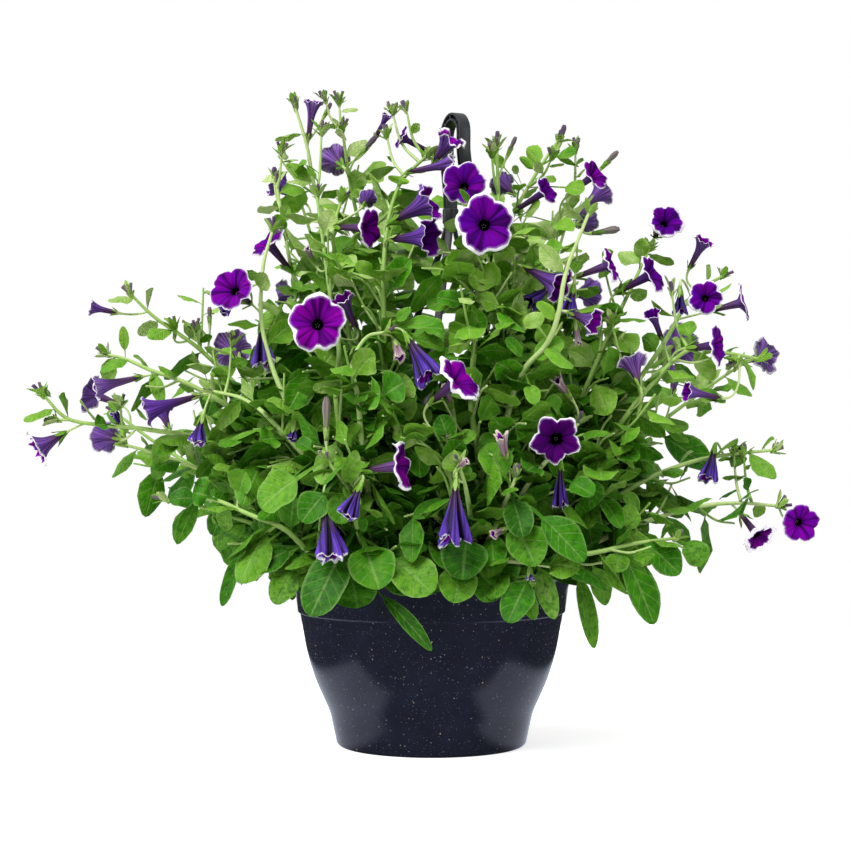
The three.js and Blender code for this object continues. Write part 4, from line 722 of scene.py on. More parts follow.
# A stem's radii and sides, its stalks' curve and radii along them, and the crown from under the soil up.
stemSizes = {
    "base": 3.8, "tip": 1.5, "sides": 7, "stalkReach": 22, "stalkDrop": 8, "stalkBend": 26, "stalkPoints": 13,
    "stalkAt": [0, 0.15, 0.8, 0.93, 1], "stalkRadii": [1.5, 1.15, 1.1, 1.7, 2.2],
    "crownHigh": [138, 158, 172], "crownRadii": [5.4, 6.2, 5.0],
}
# How far leaves and shoots stay from the pot, the hanger and the blooms. The last row is for blooms as the
# camera sees them: behind, round the foot, beside, share of the mouth and in front.
keepOut = {
    "potRadius": 164, "potHigh": 186, "innerRadius": 130, "overSoil": 6, "hookFrom": 512, "hubHigh": 545,
    "hubRadius": 13, "hookRadius": 36, "arm": 9, "armEnd": 4, "bloomBack": 3, "bloomFront": 7, "bloomSide": 3,
    "tubeShare": 0.35, "tubeLength": 0.6,
    "seenBack": 5, "seenFoot": 4, "seenSide": 2, "seenMouth": 0.95, "seenFront": 8,
}
armTurns = [-100, 20, 140]
armLine = [
    (4.2, 528), (4.2, 518.5), (10, 497), (36, 430), (74, 350), (110, 272), (140, 208), (152, 189),
    (154.3, 180), (154.3, 173.5), (152.6, 169.2), (148, 168.3),
]
down = np.array([0.0, 0.0, -1.0])


# A series of chance numbers between 0 and 1 that a seed always gives alike.
def draws(seed):
    state = (seed * 7919 + 17) % 2147483647

    def following():
        nonlocal state
        state = state * 16807 % 2147483647
        return state / 2147483647
    following()
    return following


def mix(a, b, t):
    return a + (b - a) * t


def unit(v):
    return v / norm(v)


# From a place as the photograph's camera sees it to x, y and z in the frame.
def sighted(across, up, toward):
    shrink = 1 - toward / standing["eyeDistance"]
    return np.array([across * shrink, -toward, standing["eyeHeight"] + (up - standing["eyeHeight"]) * shrink])


# A heading of 0 looks at the camera, and one of 90 to the right.
def facing(heading, pitch):
    h, p = math.radians(heading), math.radians(pitch)
    return np.array([math.sin(h) * math.cos(p), -math.cos(h) * math.cos(p), math.sin(p)])


# Two directions square to an axis and to each other.
def squareTo(axis):
    reference = np.array([0.0, 0, 1]) if abs(axis[2]) < 0.9 else np.array([1.0, 0, 0])
    side = unit(np.cross(axis, reference))
    return side, np.cross(side, axis)


# The way out from an axis at a turn round it, and an axis tilted that way. Angles in radians.
def outAt(side, up, turn):
    return side * math.cos(turn) + up * math.sin(turn)


def tilted(axis, out, tilt):
    return unit(axis * math.cos(tilt) + out * math.sin(tilt))


# A smooth line through points, the same spline as the frame's stems follow.
def smoothLine(points, steps):
    points = np.array(points, float)
    last = len(points) - 1
    ends = np.vstack([2 * points[0] - points[1], points, 2 * points[-1] - points[-2]])
    place = np.linspace(0, last, steps + 1)
    i = np.minimum(place.astype(int), last - 1)
    w = (place - i)[:, None]
    x0, x1, x2, x3 = ends[i], ends[i + 1], ends[i + 2], ends[i + 3]
    t0, t1 = 0.5 * (x2 - x0), 0.5 * (x3 - x1)
    return x1 + t0 * w + (-3 * x1 + 3 * x2 - 2 * t0 - t1) * w ** 2 + (2 * x1 - 2 * x2 + t0 + t1) * w ** 3


def nearestOn(points, target):
    return points[np.argmin(norm(points - target, axis=1))]


def bloomPlace(spec, plant, number):
    kind, across, up, toward, heading, pitch, radius, length = spec
    axis = facing(heading, pitch)
    mouth = sighted(across, up, toward)
    return {"kind": kind, "axis": axis, "mouth": mouth, "base": mouth - axis * length,
            "radius": radius, "length": length, "name": f"{plant}_{number}"}


def growPlants():
    grown = []
    for p, plant in enumerate(plants):
        turn = math.radians(plant["turn"])
        crown = standing["crownCircle"]
        start = [crown * math.cos(turn), crown * math.sin(turn), standing["stemStart"]]
        lines, blooms = [], []
        draw = draws(300 + p)
        for route, carried in plant["stems"]:
            line = smoothLine([start, *[sighted(*at) for at in route]], 8 * len(route))
            lines.append(line)
            for spec in carried:
                bloom = bloomPlace(spec, plant["name"], len(blooms) + 1)
                bloom["turn"] = fullTurn * draw()
                bloom["line"] = line[6:]
                blooms.append(bloom)
        grown.append({"name": plant["name"], "lines": lines, "blooms": blooms, "start": start})
    return grown


grown = growPlants()
allBlooms = [bloom for plant in grown for bloom in plant["blooms"]]
bloomBase = np.array([b["base"] for b in allBlooms])
bloomAxis = np.array([b["axis"] for b in allBlooms])
bloomRadius = np.array([b["radius"] for b in allBlooms], float)
bloomLength = np.array([b["length"] for b in allBlooms], float)
print("plants:", len(grown), "stems:", sum(len(g["lines"]) for g in grown), "blooms:", len(allBlooms))


# The hub stands off the pot's axis, and the arms lean towards it as they rise.
def hubShift(z):
    low, high = standing["lipHigh"], standing["hubHigh"]
    return standing["hubX"] * np.clip((z - low) / (high - low), 0, 1)


def armPlace(turn, radius, z):
    return np.array([hubShift(z) + radius * math.cos(turn), radius * math.sin(turn), z])


# True where a point is in or too near the pot, the soil, the hanger or a bloom.
def taken(points):
    x, y, z = points.T
    level = np.hypot(x, y)
    inPot = (level < keepOut["potRadius"]) & (z < keepOut["potHigh"])
    potHit = (level > keepOut["innerRadius"]) | (z < standing["soilTop"] + keepOut["overSoil"])
    hookRadius = np.where(z < keepOut["hubHigh"], keepOut["hubRadius"], keepOut["hookRadius"])
    hit = (z > keepOut["hookFrom"]) & (np.hypot(x - standing["hubX"], y) < hookRadius)
    for turn in np.radians(armTurns):
        for (r, high), (nextR, low) in zip(armLine[2:8], armLine[3:9]):
            reach = (z < high + keepOut["armEnd"]) & (z > low - keepOut["armEnd"])
            if not reach.any():
                continue
            radius = mix(r, nextR, (high - z) / (high - low))
            near = np.hypot(x - hubShift(z) - radius * math.cos(turn), y - radius * math.sin(turn))
            hit |= reach & (near < keepOut["arm"])
    rise = points[:, None] - bloomBase[None]
    h = np.sum(rise * bloomAxis[None], axis=2)
    r = norm(rise - h[..., None] * bloomAxis[None], axis=2)
    tube = np.where(h < keepOut["tubeLength"] * bloomLength, keepOut["tubeShare"], 1.0)
    inside = (h > -keepOut["bloomBack"]) & (h < bloomLength + keepOut["bloomFront"])
    hit |= (inside & (r < keepOut["bloomSide"] + bloomRadius * tube)).any(axis=1)
    return np.where(inPot, potHit, hit)


# Across, up and toward of points, as the photograph's camera sees them.
def seen(points):
    toward, eye = -points[:, 1], standing["eyeHeight"]
    shrink = 1 - toward / standing["eyeDistance"]
    return np.stack([points[:, 0] / shrink, eye + (points[:, 2] - eye) / shrink, toward], axis=1)


shownBlooms = [b for b in allBlooms if b["mouth"][1] < standing["seenBehind"]]
seenBase = seen(np.array([b["base"] for b in shownBlooms]))
seenMouth = seen(np.array([b["mouth"] for b in shownBlooms]))
seenRadius = np.array([b["radius"] for b in shownBlooms], float)


# True where a point stands in front of a bloom that the photograph shows.
def hidesBloom(points):
    place = seen(np.asarray(points))[:, None]
    run = (seenMouth - seenBase)[:, :2]
    offBase = place[..., :2] - seenBase[None, :, :2]
    h = np.clip(np.sum(offBase * run, axis=2) / np.maximum(np.sum(run * run, axis=1), 1), 0, 1)
    gap = norm(offBase - h[..., None] * run, axis=2)
    front = place[..., 2] > mix(seenBase[:, 2], seenMouth[:, 2], h) - keepOut["seenBack"]
    onTube = gap < mix(keepOut["seenFoot"], seenRadius, h ** 1.5) + keepOut["seenSide"]
    onMouth = norm(place[..., :2] - seenMouth[None, :, :2], axis=2) < seenRadius * keepOut["seenMouth"]
    return ((front & onTube) | (onMouth & (place[..., 2] > seenMouth[:, 2] - keepOut["seenFront"]))).any(axis=1)


# True if a line of points, past its first few, is nowhere taken and hides no bloom.
def isFree(line, solidFrom=3, seenFrom=2):
    return not taken(line[solidFrom:]).any() and not hidesBloom(line[seenFrom:]).any()


def leafPoint(leaf, s):
    return leaf["root"] + leaf["along"] * leaf["length"] * s + down * leaf["length"] * leaf["droop"] * s * s


# Points on a leaf's middle and edges, where it is tested.
def probes(leaf):
    across = np.cross(leaf["along"], leaf["normal"])
    return np.array([leafPoint(leaf, s) + across * side * leaf["width"] * (0.3 if s == 1 else 1)
                     for s in (0.45, 0.75, 1) for side in (-0.45, 0, 0.45)])


# The first droop that keeps a leaf out of what stands round it, or none.
def fitted(leaf):
    for share in leafRule["droopTries"]:
        trial = {**leaf, "droop": leaf["droop"] * share}
        if isFree(probes(trial), 0, 0):
            return trial
    return None


# Leaves in a spiral along a stem, by a rule.
def leavesAlong(line, seed, rule):
    draw = draws(seed)
    steps = norm(np.diff(line, axis=0), axis=1)
    total = steps.sum()
    found = []
    turn, at = 360 * draw(), rule["firstAt"]
    while at < total - 5:
        index, left = 0, at
        while index < len(steps) - 1 and left > steps[index]:
            left -= steps[index]
            index += 1
        root = mix(line[index], line[index + 1], left / steps[index])
        stemAlong = unit(line[index + 1] - line[index])
        share = at / total
        length = mix(*rule["length"], share ** 0.9) * (0.84 + 0.32 * draw())
        width = length * mix(*rule["width"], share) * (0.9 + 0.2 * draw())
        turn += rule["turn"] + 30 * (draw() - 0.5)
        along = tilted(stemAlong, outAt(*squareTo(stemAlong), math.radians(turn)), math.radians(rule["spread"]))
        flat = np.array([root[0], root[1], 0.0])
        light = unit(flat) * 0.7 + down if norm(flat) > 0 else down
        normal = unit(light - along * light.dot(along))
        droop = rule["droop"] * (0.6 + 0.8 * draw())
        leaf = fitted({"root": root, "along": along, "normal": normal, "length": length, "width": width,
                       "neck": rule["neck"], "droop": droop, "share": share})
        if leaf:
            found.append(leaf)
        at += mix(*rule["spacing"], share) * (0.9 + 0.2 * draw())
    return found


# Side shoots that leave a stem in a spiral and bend up.
def shootsOf(line, seed):
    draw = draws(seed)
    steps = norm(np.diff(line, axis=0), axis=1)
    reach = np.concatenate([[0], np.cumsum(steps)])
    shoots, at, turn = [], bush["shootFirst"], 360 * draw()
    while at < reach[-1] - bush["shootLast"]:
        i = min(int(np.searchsorted(reach, at)), len(line) - 2)
        stemAlong = unit(line[i + 1] - line[i])
        turn += leafRule["turn"] + 40 * (draw() - 0.5)
        tilt = math.radians(bush["shootTilt"] * (0.8 + 0.5 * draw()))
        heading = tilted(stemAlong, outAt(*squareTo(stemAlong), math.radians(turn)), tilt)
        length = mix(*bush["shootLength"], at / reach[-1]) * (0.75 + 0.5 * draw())
        knots = [line[i], line[i] + heading * 0.5 * length, line[i] + heading * length - down * 0.22 * length]
        shoot = smoothLine(knots, 10)
        if isFree(shoot):
            shoots.append(shoot)
        at += bush["shootEvery"] * (0.8 + 0.4 * draw())
    return shoots


# The plant in whose sector a turn lies, by name.
def plantAt(degrees):
    return min(plants, key=lambda other: abs((other["turn"] - degrees + 180) % 360 - 180))["name"]


# Shoots that reach the canopy's dome from the nearest stem, in the plant's own sector.
def domeShoots(plant, lines, seed):
    draw = draws(seed)
    stems = np.vstack(lines)
    shoots = []
    for layer in canopy["layers"]:
        high = canopy["high"][0]
        while high < canopy["high"][-1]:
            reach = layer * np.interp(high, canopy["high"], canopy["reach"])
            around = max(3, round(fullTurn * reach / canopy["spacing"]))
            for k in range(around):
                a = fullTurn * (k + draw()) / around
                spot = np.array([reach * canopy["wide"] * math.cos(a), reach * canopy["deep"] * math.sin(a),
                                 high + canopy["spacing"] * (draw() - 0.5)])
                thinned = high > canopy["thinFrom"] and draw() > canopy["thinShare"]
                if thinned or plantAt(math.degrees(a)) != plant["name"]:
                    continue
                foot = nearestOn(stems, spot * [0.75, 0.75, 1] + down * 30)
                length = norm(spot - foot)
                if length > canopy["farthest"] or length < 20:
                    continue
                middle = mix(foot, spot, 0.55) - down * canopy["rise"] * length
                shoot = smoothLine([foot, middle, spot], 10)
                if isFree(shoot):
                    shoots.append(shoot)
            high += 0.8 * canopy["spacing"]
    return shoots


# Short shoots up to the stem tips, on the plant that is nearest.
def tipShoots(plant):
    shoots = []
    for row in stemTips:
        tip = sighted(*row)
        aim = tip + down * 34
        feet = [nearestOn(np.vstack(other["lines"]), aim) for other in grown]
        gaps = [norm(foot - aim) for foot in feet]
        if grown[int(np.argmin(gaps))] is plant:
            foot = feet[int(np.argmin(gaps))]
            shoots.append(smoothLine([foot, mix(foot, tip, 0.5) + (tip - foot) * [0.16, 0.16, -0.1], tip], 10))
    return shoots


# Stems that fill the middle of the basket.
def innerStems(plant, turn, seed):
    draw = draws(seed)
    stems = []
    for k in range(bush["innerStems"]):
        a = math.radians(turn + bush["innerFan"] * (2 * (k + draw()) / bush["innerStems"] - 1))
        reach, high = mix(*bush["innerReach"], draw()), mix(*bush["innerHigh"], draw())
        end = np.array([reach * math.cos(a), reach * math.sin(a), high])
        start = np.array(plant["start"])
        middle = mix(start, end, 0.5) + np.array([0.15 * (end - start)[0], 0.15 * (end - start)[1], 12])
        line = smoothLine([start, middle, end], 20)
        if isFree(line, 4, 6):
            stems.append(line)
    return stems


# A leaf from a stem's point to its tip, whose stalk ends at its foot and whose face is turned to the view.
def leafBetween(root, foot, tip, width, view):
    reach = tip - root
    length = norm(reach)
    toRoot, toTip = norm(foot - root), norm(foot - tip)
    droop = 0.16
    along = unit(reach - down * length * droop)
    return {"root": root, "along": along, "normal": unit(view - along * view.dot(along)), "length": length,
            "width": width, "neck": toRoot / (toRoot + toTip), "droop": droop, "share": 0.0}


# Leaves that lie over the pot's lip all the way round, in the plant's own sector.
def skirtLeaves(plant):
    draw = draws(bush["skirtSeed"])
    found = []
    for k in range(bush["skirt"]):
        degrees = 360 * (k + 0.5 * draw()) / bush["skirt"]
        a = math.radians(degrees)
        values = [mix(*bush[key], draw()) for key in ("skirtFoot", "skirtTip", "skirtHigh", "skirtLow")]
        width, sway = 34 + 14 * draw(), 0.35 * (draw() - 0.5)
        if plantAt(degrees) != plant["name"]:
            continue
        out, tipOut = (np.array([math.cos(b), math.sin(b), 0.0]) for b in (a, a + sway))
        foot = out * values[0] + np.array([0, 0, values[2]])
        tip = tipOut * values[1] + np.array([0, 0, values[3]])
        leaf = leafBetween(nearestOn(np.vstack(plant["lines"]), foot), foot, tip, width, out * 0.8 - down * 0.6)
        if not hidesBloom(probes(leaf)).any():
            found.append(leaf)
    return found


# A leaf shown by its foot and tip; its root reaches back to the nearest stem.
def shownLeaf(row, lines):
    footAcross, footUp, tipAcross, tipUp, toward, width = row
    sign = 1 if toward > 0 else -1
    foot, tip = sighted(footAcross, footUp, toward), sighted(tipAcross, tipUp, toward + sign * 6)
    return leafBetween(nearestOn(np.vstack(lines), foot), foot, tip, width, np.array([0, -sign * 0.85, 0.55]))


# Meshes

def addObject(name, data):
    made = bpy.data.objects.new(name, data)
    bpy.context.scene.collection.objects.link(made)
    return made


def meshPiece(name, points, faces, attributes=None, edges=()):
    mesh = bpy.data.meshes.new(name)
    mesh.from_pydata(np.asarray(points, float).tolist(), list(edges), [list(f) for f in faces])
    for label, values in (attributes or {}).items():
        values = np.asarray(values, np.float32)
        kind, field = ("FLOAT_VECTOR", "vector") if values.ndim == 2 else ("FLOAT", "value")
        mesh.attributes.new(label, kind, "POINT").data.foreach_set(field, values.ravel())
    mesh.shade_smooth()
    return addObject(name, mesh)


# The plain mesh that a piece's modifiers make.
def finishedMesh(piece):
    bpy.context.view_layer.update()
    return bpy.data.meshes.new_from_object(piece.evaluated_get(bpy.context.evaluated_depsgraph_get()))


# Shades a moulded piece smooth, up to corners of so many degrees.
def finishMoulding(piece, finish, corner):
    piece.data.materials.clear()
    piece.data.materials.append(finishes[finish])
    piece.data.shade_smooth()
    piece.data.set_sharp_from_angle(angle=math.radians(corner))
    return piece


# Faces between two rings of points, over a grid of rings, and from a ring to its pole.
def ringFaces(low, high, around, flip=False):
    faces = [[low + j, low + (j + 1) % around, high + (j + 1) % around, high + j] for j in range(around)]
    return [face[::-1] for face in faces] if flip else faces


def sheetFaces(rows, around, first=0, flip=False):
    return [face for i in range(rows - 1)
            for face in ringFaces(first + i * around, first + (i + 1) * around, around, flip)]


def fanFaces(ring, pole, around, flip=False):
    return [[ring + (j + flip) % around, ring + (j + (not flip)) % around, pole] for j in range(around)]


def sweptFaces(rows, count):
    ends = [list(range(count - 1, -1, -1)), list(range((rows - 1) * count, rows * count))]
    return sheetFaces(rows, count) + ends


def setInput(modifier, tree, label, value):
    sockets = [item for item in tree.interface.items_tree if item.item_type == "SOCKET"]
    socket = next(item for item in sockets if item.name == label)
    modifier[socket.identifier] = value


def startTree(name, inputs):
    tree = bpy.data.node_groups.new(name, "GeometryNodeTree")
    tree.interface.new_socket("Geometry", in_out="INPUT", socket_type="NodeSocketGeometry")
    tree.interface.new_socket("Geometry", in_out="OUTPUT", socket_type="NodeSocketGeometry")
    for label, kind in inputs.items():
        tree.interface.new_socket(label, in_out="INPUT", socket_type="NodeSocket" + kind)
    add = partial(addNode, tree)
    return tree, add, add("NodeGroupInput").outputs, add("NodeGroupOutput")


# Every tree ends in real, dressed faces, because the export drops instances.
def endTree(add, result, grown, finish):
    real = add("GeometryNodeRealizeInstances", links={"Geometry": grown})
    dressed = add("GeometryNodeSetMaterial", links={"Geometry": real, "Material": finish})
    feedNode(result, [dressed])


# Runs a tree on a source object and keeps the result as a plain mesh, without the modifier.
def grownPiece(name, source, tree, inputs):
    modifier = source.modifiers.new(tree.name, "NODES")
    modifier.node_group = tree
    for label, value in inputs.items():
        setInput(modifier, tree, label, value)
    made = finishedMesh(source)
    bpy.data.objects.remove(source)
    made.name = name
    return addObject(name, made)


# Stems and stalks: a round section of varying radius swept along every line.
def stemTree():
    tree, add, given, result = startTree("downy stems", {"Sides": "Int", "Stem finish": "Material"})
    thick = add("GeometryNodeInputNamedAttribute", {"data_type": "FLOAT"}, {"Name": "thick"})
    lines = add("GeometryNodeMeshToCurve", links={"Mesh": given["Geometry"]})
    section = add("GeometryNodeCurvePrimitiveCircle", links={"Resolution": given["Sides"], "Radius": 1.0})
    swept = add("GeometryNodeCurveToMesh", links={
        "Curve": lines, "Profile Curve": section, "Scale": thick.outputs["Attribute"], "Fill Caps": True})
    shaded = add("GeometryNodeSetShadeSmooth", links={"Geometry": swept})
    endTree(add, result, shaded, given["Stem finish"])
    return tree


# Leaves: one flat blade form set on every point, then bent, folded and waved by the point's own numbers.
def leafTree():
    tree, add, given, result = startTree("leaf blades", {
        "Blade": "Object", "Thickness": "Float", "Fold": "Float", "Wave": "Float", "Leaf finish": "Material"})
    blade = add("GeometryNodeObjectInfo", links={"Object": given["Blade"]})
    placed = add("GeometryNodeInstanceOnPoints", links={
        "Points": given["Geometry"], "Instance": blade.outputs["Geometry"]})
    real = add("GeometryNodeRealizeInstances", links={"Geometry": placed})
    made = {name: given[name] for name in ("Thickness", "Fold", "Wave")}
    for name in ("root", "along", "normal", "form", "size", "bend"):
        made[name] = add("GeometryNodeInputNamedAttribute", {"data_type": "FLOAT_VECTOR"}, {
            "Name": name}).outputs[0]
    for vector, names in (("form", ("across", "rise", "lift")), ("size", ("length", "width", "neck")),
                          ("bend", ("droop", "fold", "phase"))):
        made.update(zip(names, add("SeparateXYZ", links=[made[vector]]).outputs))
    # The stalk takes the form's first rows and the neck's share of the length, the blade the rest.
    blade = add("Math", minus, [1.0, made["neck"]])
    for part, start, end, share in (("stalk", 0.0, stalkRows, made["neck"]), ("rest", stalkRows, 1.0, blade)):
        made[part] = add("MapRange", links=[made["rise"], start, end, 0.0, share])
    # Each row names a value and the sum that makes it: first the midrib, then the fold and the wavy edge.
    for name, kind, operation, *inputs in (
        ("s", "Math", "ADD", "stalk", "rest"),
        ("squared", "Math", "MULTIPLY", "s", "s"),
        ("sag", "Math", "MULTIPLY", "squared", "droop"),
        ("fall", "Math", "MULTIPLY", "sag", "length"),
        ("sunk", "VectorMath", "SCALE", (0, 0, -1), None, None, "fall"),
        ("reach", "Math", "MULTIPLY", "length", "s"),
        ("out", "VectorMath", "SCALE", "along", None, None, "reach"),
        ("straight", "VectorMath", "ADD", "root", "out"),
        ("centre", "VectorMath", "ADD", "straight", "sunk"),
        ("lean", "Math", "MULTIPLY", "s", "droop"),
        ("slope", "VectorMath", "SCALE", (0, 0, -2), None, None, "lean"),
        ("heading", "VectorMath", "ADD", "along", "slope"),
        ("direction", "VectorMath", "NORMALIZE", "heading"),
        ("square", "VectorMath", "CROSS_PRODUCT", "direction", "normal"),
        ("sideways", "VectorMath", "NORMALIZE", "square"),
        ("upward", "VectorMath", "CROSS_PRODUCT", "sideways", "direction"),
        ("share", "Math", "ABSOLUTE", "across"),
        ("off", "Math", "MULTIPLY", "share", "width"),
        ("foldRate", "Math", "MULTIPLY", "fold", "Fold"),
        ("cup", "Math", "MULTIPLY_ADD", "share", 0.65, 0.35),
        ("cupped", "Math", "MULTIPLY", "off", "cup"),
        ("folded", "Math", "MULTIPLY", "cupped", "foldRate"),
        ("skew", "Math", "MULTIPLY_ADD", "across", 3.0, "phase"),
        ("angle", "Math", "MULTIPLY_ADD", "rise", 9.0, "skew"),
        ("ripple", "Math", "SINE", "angle"),
        ("waved", "Math", "MULTIPLY", "ripple", "off"),
        ("edge", "Math", "MULTIPLY_ADD", "waved", "Wave", "folded"),
        ("high", "Math", "MULTIPLY_ADD", "lift", "Thickness", "edge"),
        ("wide", "Math", "MULTIPLY", "across", "width"),
        ("aside", "VectorMath", "SCALE", "sideways", None, None, "wide"),
        ("above", "VectorMath", "SCALE", "upward", None, None, "high"),
        ("flat", "VectorMath", "ADD", "centre", "aside"),
        ("place", "VectorMath", "ADD", "flat", "above"),
    ):
        made[name] = add(kind, {"operation": operation}, {
            i: made.get(value, value) for i, value in enumerate(inputs) if value is not None})
    moved = add("GeometryNodeSetPosition", links={"Geometry": real, "Position": made["place"]})
    endTree(add, result, moved, given["Leaf finish"])
    return tree


# Rows of a blade: how far along, and the share of its width there. half is its columns on each side, thick
# its thickness in mm. folding and waving are how far every blade follows its own fold and wave.
stalkRows, folding, waving = 0.14, 1.0, 0.2
bladeForms = {
    "leaf": {"half": 2, "thick": 0.7, "rows": [
        (0, 0.08), (stalkRows, 0.14), (0.27, 0.66), (0.48, 0.98), (0.7, 0.94), (0.88, 0.62), (0.97, 0.3)]},
    "fineLeaf": {"half": 3, "thick": 0.7, "rows": [
        (0, 0.07), (0.07, 0.08), (stalkRows, 0.12), (0.19, 0.4), (0.27, 0.7), (0.37, 0.9), (0.48, 1.0),
        (0.6, 0.99), (0.72, 0.92), (0.83, 0.77), (0.92, 0.54), (0.98, 0.27)]},
    "sepal": {"half": 1, "thick": 0.6, "rows": [
        (0, 0.45), (stalkRows, 0.6), (0.4, 0.9), (0.66, 1.0), (0.87, 0.66)]},
}


# A flat closed blade: two skins that meet in a sharp rim. x is the share across, y along, z the lift.
def bladeForm(name):
    look = bladeForms[name]
    half, rows = look["half"], look["rows"]
    points, places, rim, index = [], [], [], {}
    for skin in (1, -1):
        for r, (along, share) in enumerate(rows):
            for c in range(-half, half + 1):
                edge = abs(c) == half or r == 0
                if edge and skin < 0:
                    index[skin, r, c] = index[1, r, c]
                    continue
                index[skin, r, c] = len(points)
                across = c / half
                lift = 0.0 if edge else 0.5 * skin * (1 - 0.3 * abs(across))
                points.append((0.5 * share * across, along, lift))
                places.append((across, along, 0.0))
                rim.append(edge)
    tip = len(points)
    points.append((0, 1, 0))
    places.append((0, 1, 0))
    rim.append(True)
    faces = []
    for skin in (1, -1):
        for r in range(len(rows) - 1):
            for c in range(-half, half):
                corners = (r, c), (r, c + 1), (r + 1, c + 1), (r + 1, c)
                quad = [index[skin, row, column] for row, column in corners]
                faces.append(quad if skin > 0 else quad[::-1])
        for c in range(-half, half):
            point = [index[skin, len(rows) - 1, c], index[skin, len(rows) - 1, c + 1], tip]
            faces.append(point if skin > 0 else point[::-1])
    form = meshPiece(name + "_form", points, faces, {"form": points, "leafPlace": places})
    sharp = form.data.attributes.new("sharp_edge", "BOOLEAN", "EDGE")
    for edge in form.data.edges:
        sharp.data[edge.index].value = rim[edge.vertices[0]] and rim[edge.vertices[1]]
    return form


stemNodes, leafNodes = stemTree(), leafTree()
forms = {name: bladeForm(name) for name in bladeForms}


def linesPiece(name, lines):
    points, edges, thick, tint = [], [], [], []
    for line in lines:
        first = len(points)
        points += [tuple(p * mm) for p in line["points"]]
        thick += [r * mm for r in line["radii"]]
        tint += [line["tint"]] * len(line["points"])
        edges += [(first + i, first + i + 1) for i in range(len(line["points"]) - 1)]
    source = meshPiece(name + "_lines", points, [], {"thick": thick, "tint": tint}, edges)
    return grownPiece(name, source, stemNodes, {"Sides": stemSizes["sides"], "Stem finish": finishes["stem"]})


def leavesPiece(name, leaves, form):
    values = {
        "root": [leaf["root"] * mm for leaf in leaves], "along": [leaf["along"] for leaf in leaves],
        "normal": [leaf["normal"] for leaf in leaves],
        "size": [(leaf["length"] * mm, leaf["width"] * mm, leaf["neck"]) for leaf in leaves],
        "bend": [(leaf["droop"], leaf.get("fold", 0.3), leaf.get("phase", 0.0)) for leaf in leaves],
        "tint": [leaf.get("tint", 0.5) for leaf in leaves], "age": [leaf.get("age", 0.0) for leaf in leaves],
    }
    source = meshPiece(name + "_points", values["root"], [], values)
    return grownPiece(name, source, leafNodes, {
        "Blade": forms[form], "Thickness": bladeForms[form]["thick"] * mm, "Fold": folding, "Wave": waving,
        "Leaf finish": finishes["leaf"]})


# Blooms. Each is a closed skin: an outer and an inner sheet that meet in a thin edge. A throat is its
# place along the bloom and its share of the radius, and tubeMark is where the pattern's tube ends.
bloomForm = {
    "around": 50, "limbRows": 8, "tubeRows": 5, "thick": 0.55, "edgeThick": 0.22, "footRadius": 2.1,
    "openThroat": (0.8, 0.22), "hornThroat": (0.55, 0.3), "notch": 0.19, "ruffle": 0.05, "crease": 0.05,
    "fray": 0.015, "tubeMark": 0.6,
}


def ringTurns(around):
    return np.arange(around) * fullTurn / around


# Five lobes with notches between them, ruffled and creased; the edge is uneven and slightly frayed.
def trumpetGrid(bloom, look):
    form = bloomForm
    opened = bloom["kind"] == "open"
    radius, length = bloom["radius"], bloom["length"]
    throatAt, throatShare = form["openThroat"] if opened else form["hornThroat"]
    theta = ringTurns(form["around"])
    lobe = np.abs(np.cos(2.5 * (theta + bloom["turn"])))
    waves = look["waves"]
    edge = radius * (
        1.02 - form["notch"] * (1 - lobe) ** 2.1 - look["point"] * (1 - np.maximum(0, lobe - 0.8) * 5)
        + 0.03 * np.sin(theta + waves[1]) + 0.03 * np.sin(2 * theta + waves[2])
        + form["fray"] * (np.sin(13 * theta + waves[0]) + 0.7 * np.sin(19 * theta + waves[1])))
    rows, marks = [], []
    neck, throat = throatAt * length, throatShare * radius
    for i in range(form["tubeRows"]):
        t = i / form["tubeRows"]
        r = form["footRadius"] + (throat - form["footRadius"]) * t ** 1.5
        rows.append((np.full_like(theta, r) * (1 + 0.05 * t * np.cos(5 * (theta + bloom["turn"]))),
                     np.full_like(theta, neck * t)))
        marks.append(form["tubeMark"] * t)
    for i in range(form["limbRows"] + 1):
        t = i / form["limbRows"]
        bulge = 1 - (1 - t) ** (2.3 if opened else 1.5)
        r = throat + (edge - throat) * (t if opened else t ** 1.25)
        h = neck + (length - neck) * bulge + (-0.06 if opened else 0.12) * radius * (1 - lobe) * t ** 2
        h = h + radius * t ** 2 * look["ruffle"] * (
            np.sin(5 * (theta + bloom["turn"]) + waves[0]) + 0.8 * np.sin(3 * theta + waves[2])
            + 0.7 * np.sin(8 * theta + waves[1]) + 0.5 * np.sin(13 * theta + waves[2]))
        h = h + radius * form["crease"] * t * (lobe > 0.9) * (lobe - 0.9) * 10
        h = h - radius * look["curl"] * max(0, t - 0.7) ** 2 * 4
        rows.append((r, h))
        marks.append(form["tubeMark"] + (1 - form["tubeMark"]) * t)
    grid = np.array([np.stack([r * np.cos(theta), r * np.sin(theta), h], axis=1) for r, h in rows])
    return grid, np.array(marks), theta, np.tile(lobe, (len(rows), 1))


# Wilted blooms, husks and buds: how wide they are along their length, points and rows, and how deep they
# are pleated and crumpled.
foldedForms = {
    "limp": {"profile": [(0, 0.12), (0.2, 0.2), (0.48, 0.46), (0.75, 0.8), (0.93, 0.96), (1.0, 0.86)],
             "around": 50, "rows": 14, "pleat": 0.5, "crumple": 1},
    "husk": {"profile": [(0, 0.4), (0.3, 0.5), (0.6, 0.62), (0.85, 0.9), (1.0, 1.0)],
             "around": 25, "rows": 9, "pleat": 0.3, "crumple": 1},
    "bud": {"profile": [(0, 0.4), (0.25, 0.48), (0.5, 0.62), (0.78, 0.86), (0.92, 0.66), (1.0, 0.2)],
            "around": 20, "rows": 8, "pleat": 0.16, "crumple": 0.3},
}


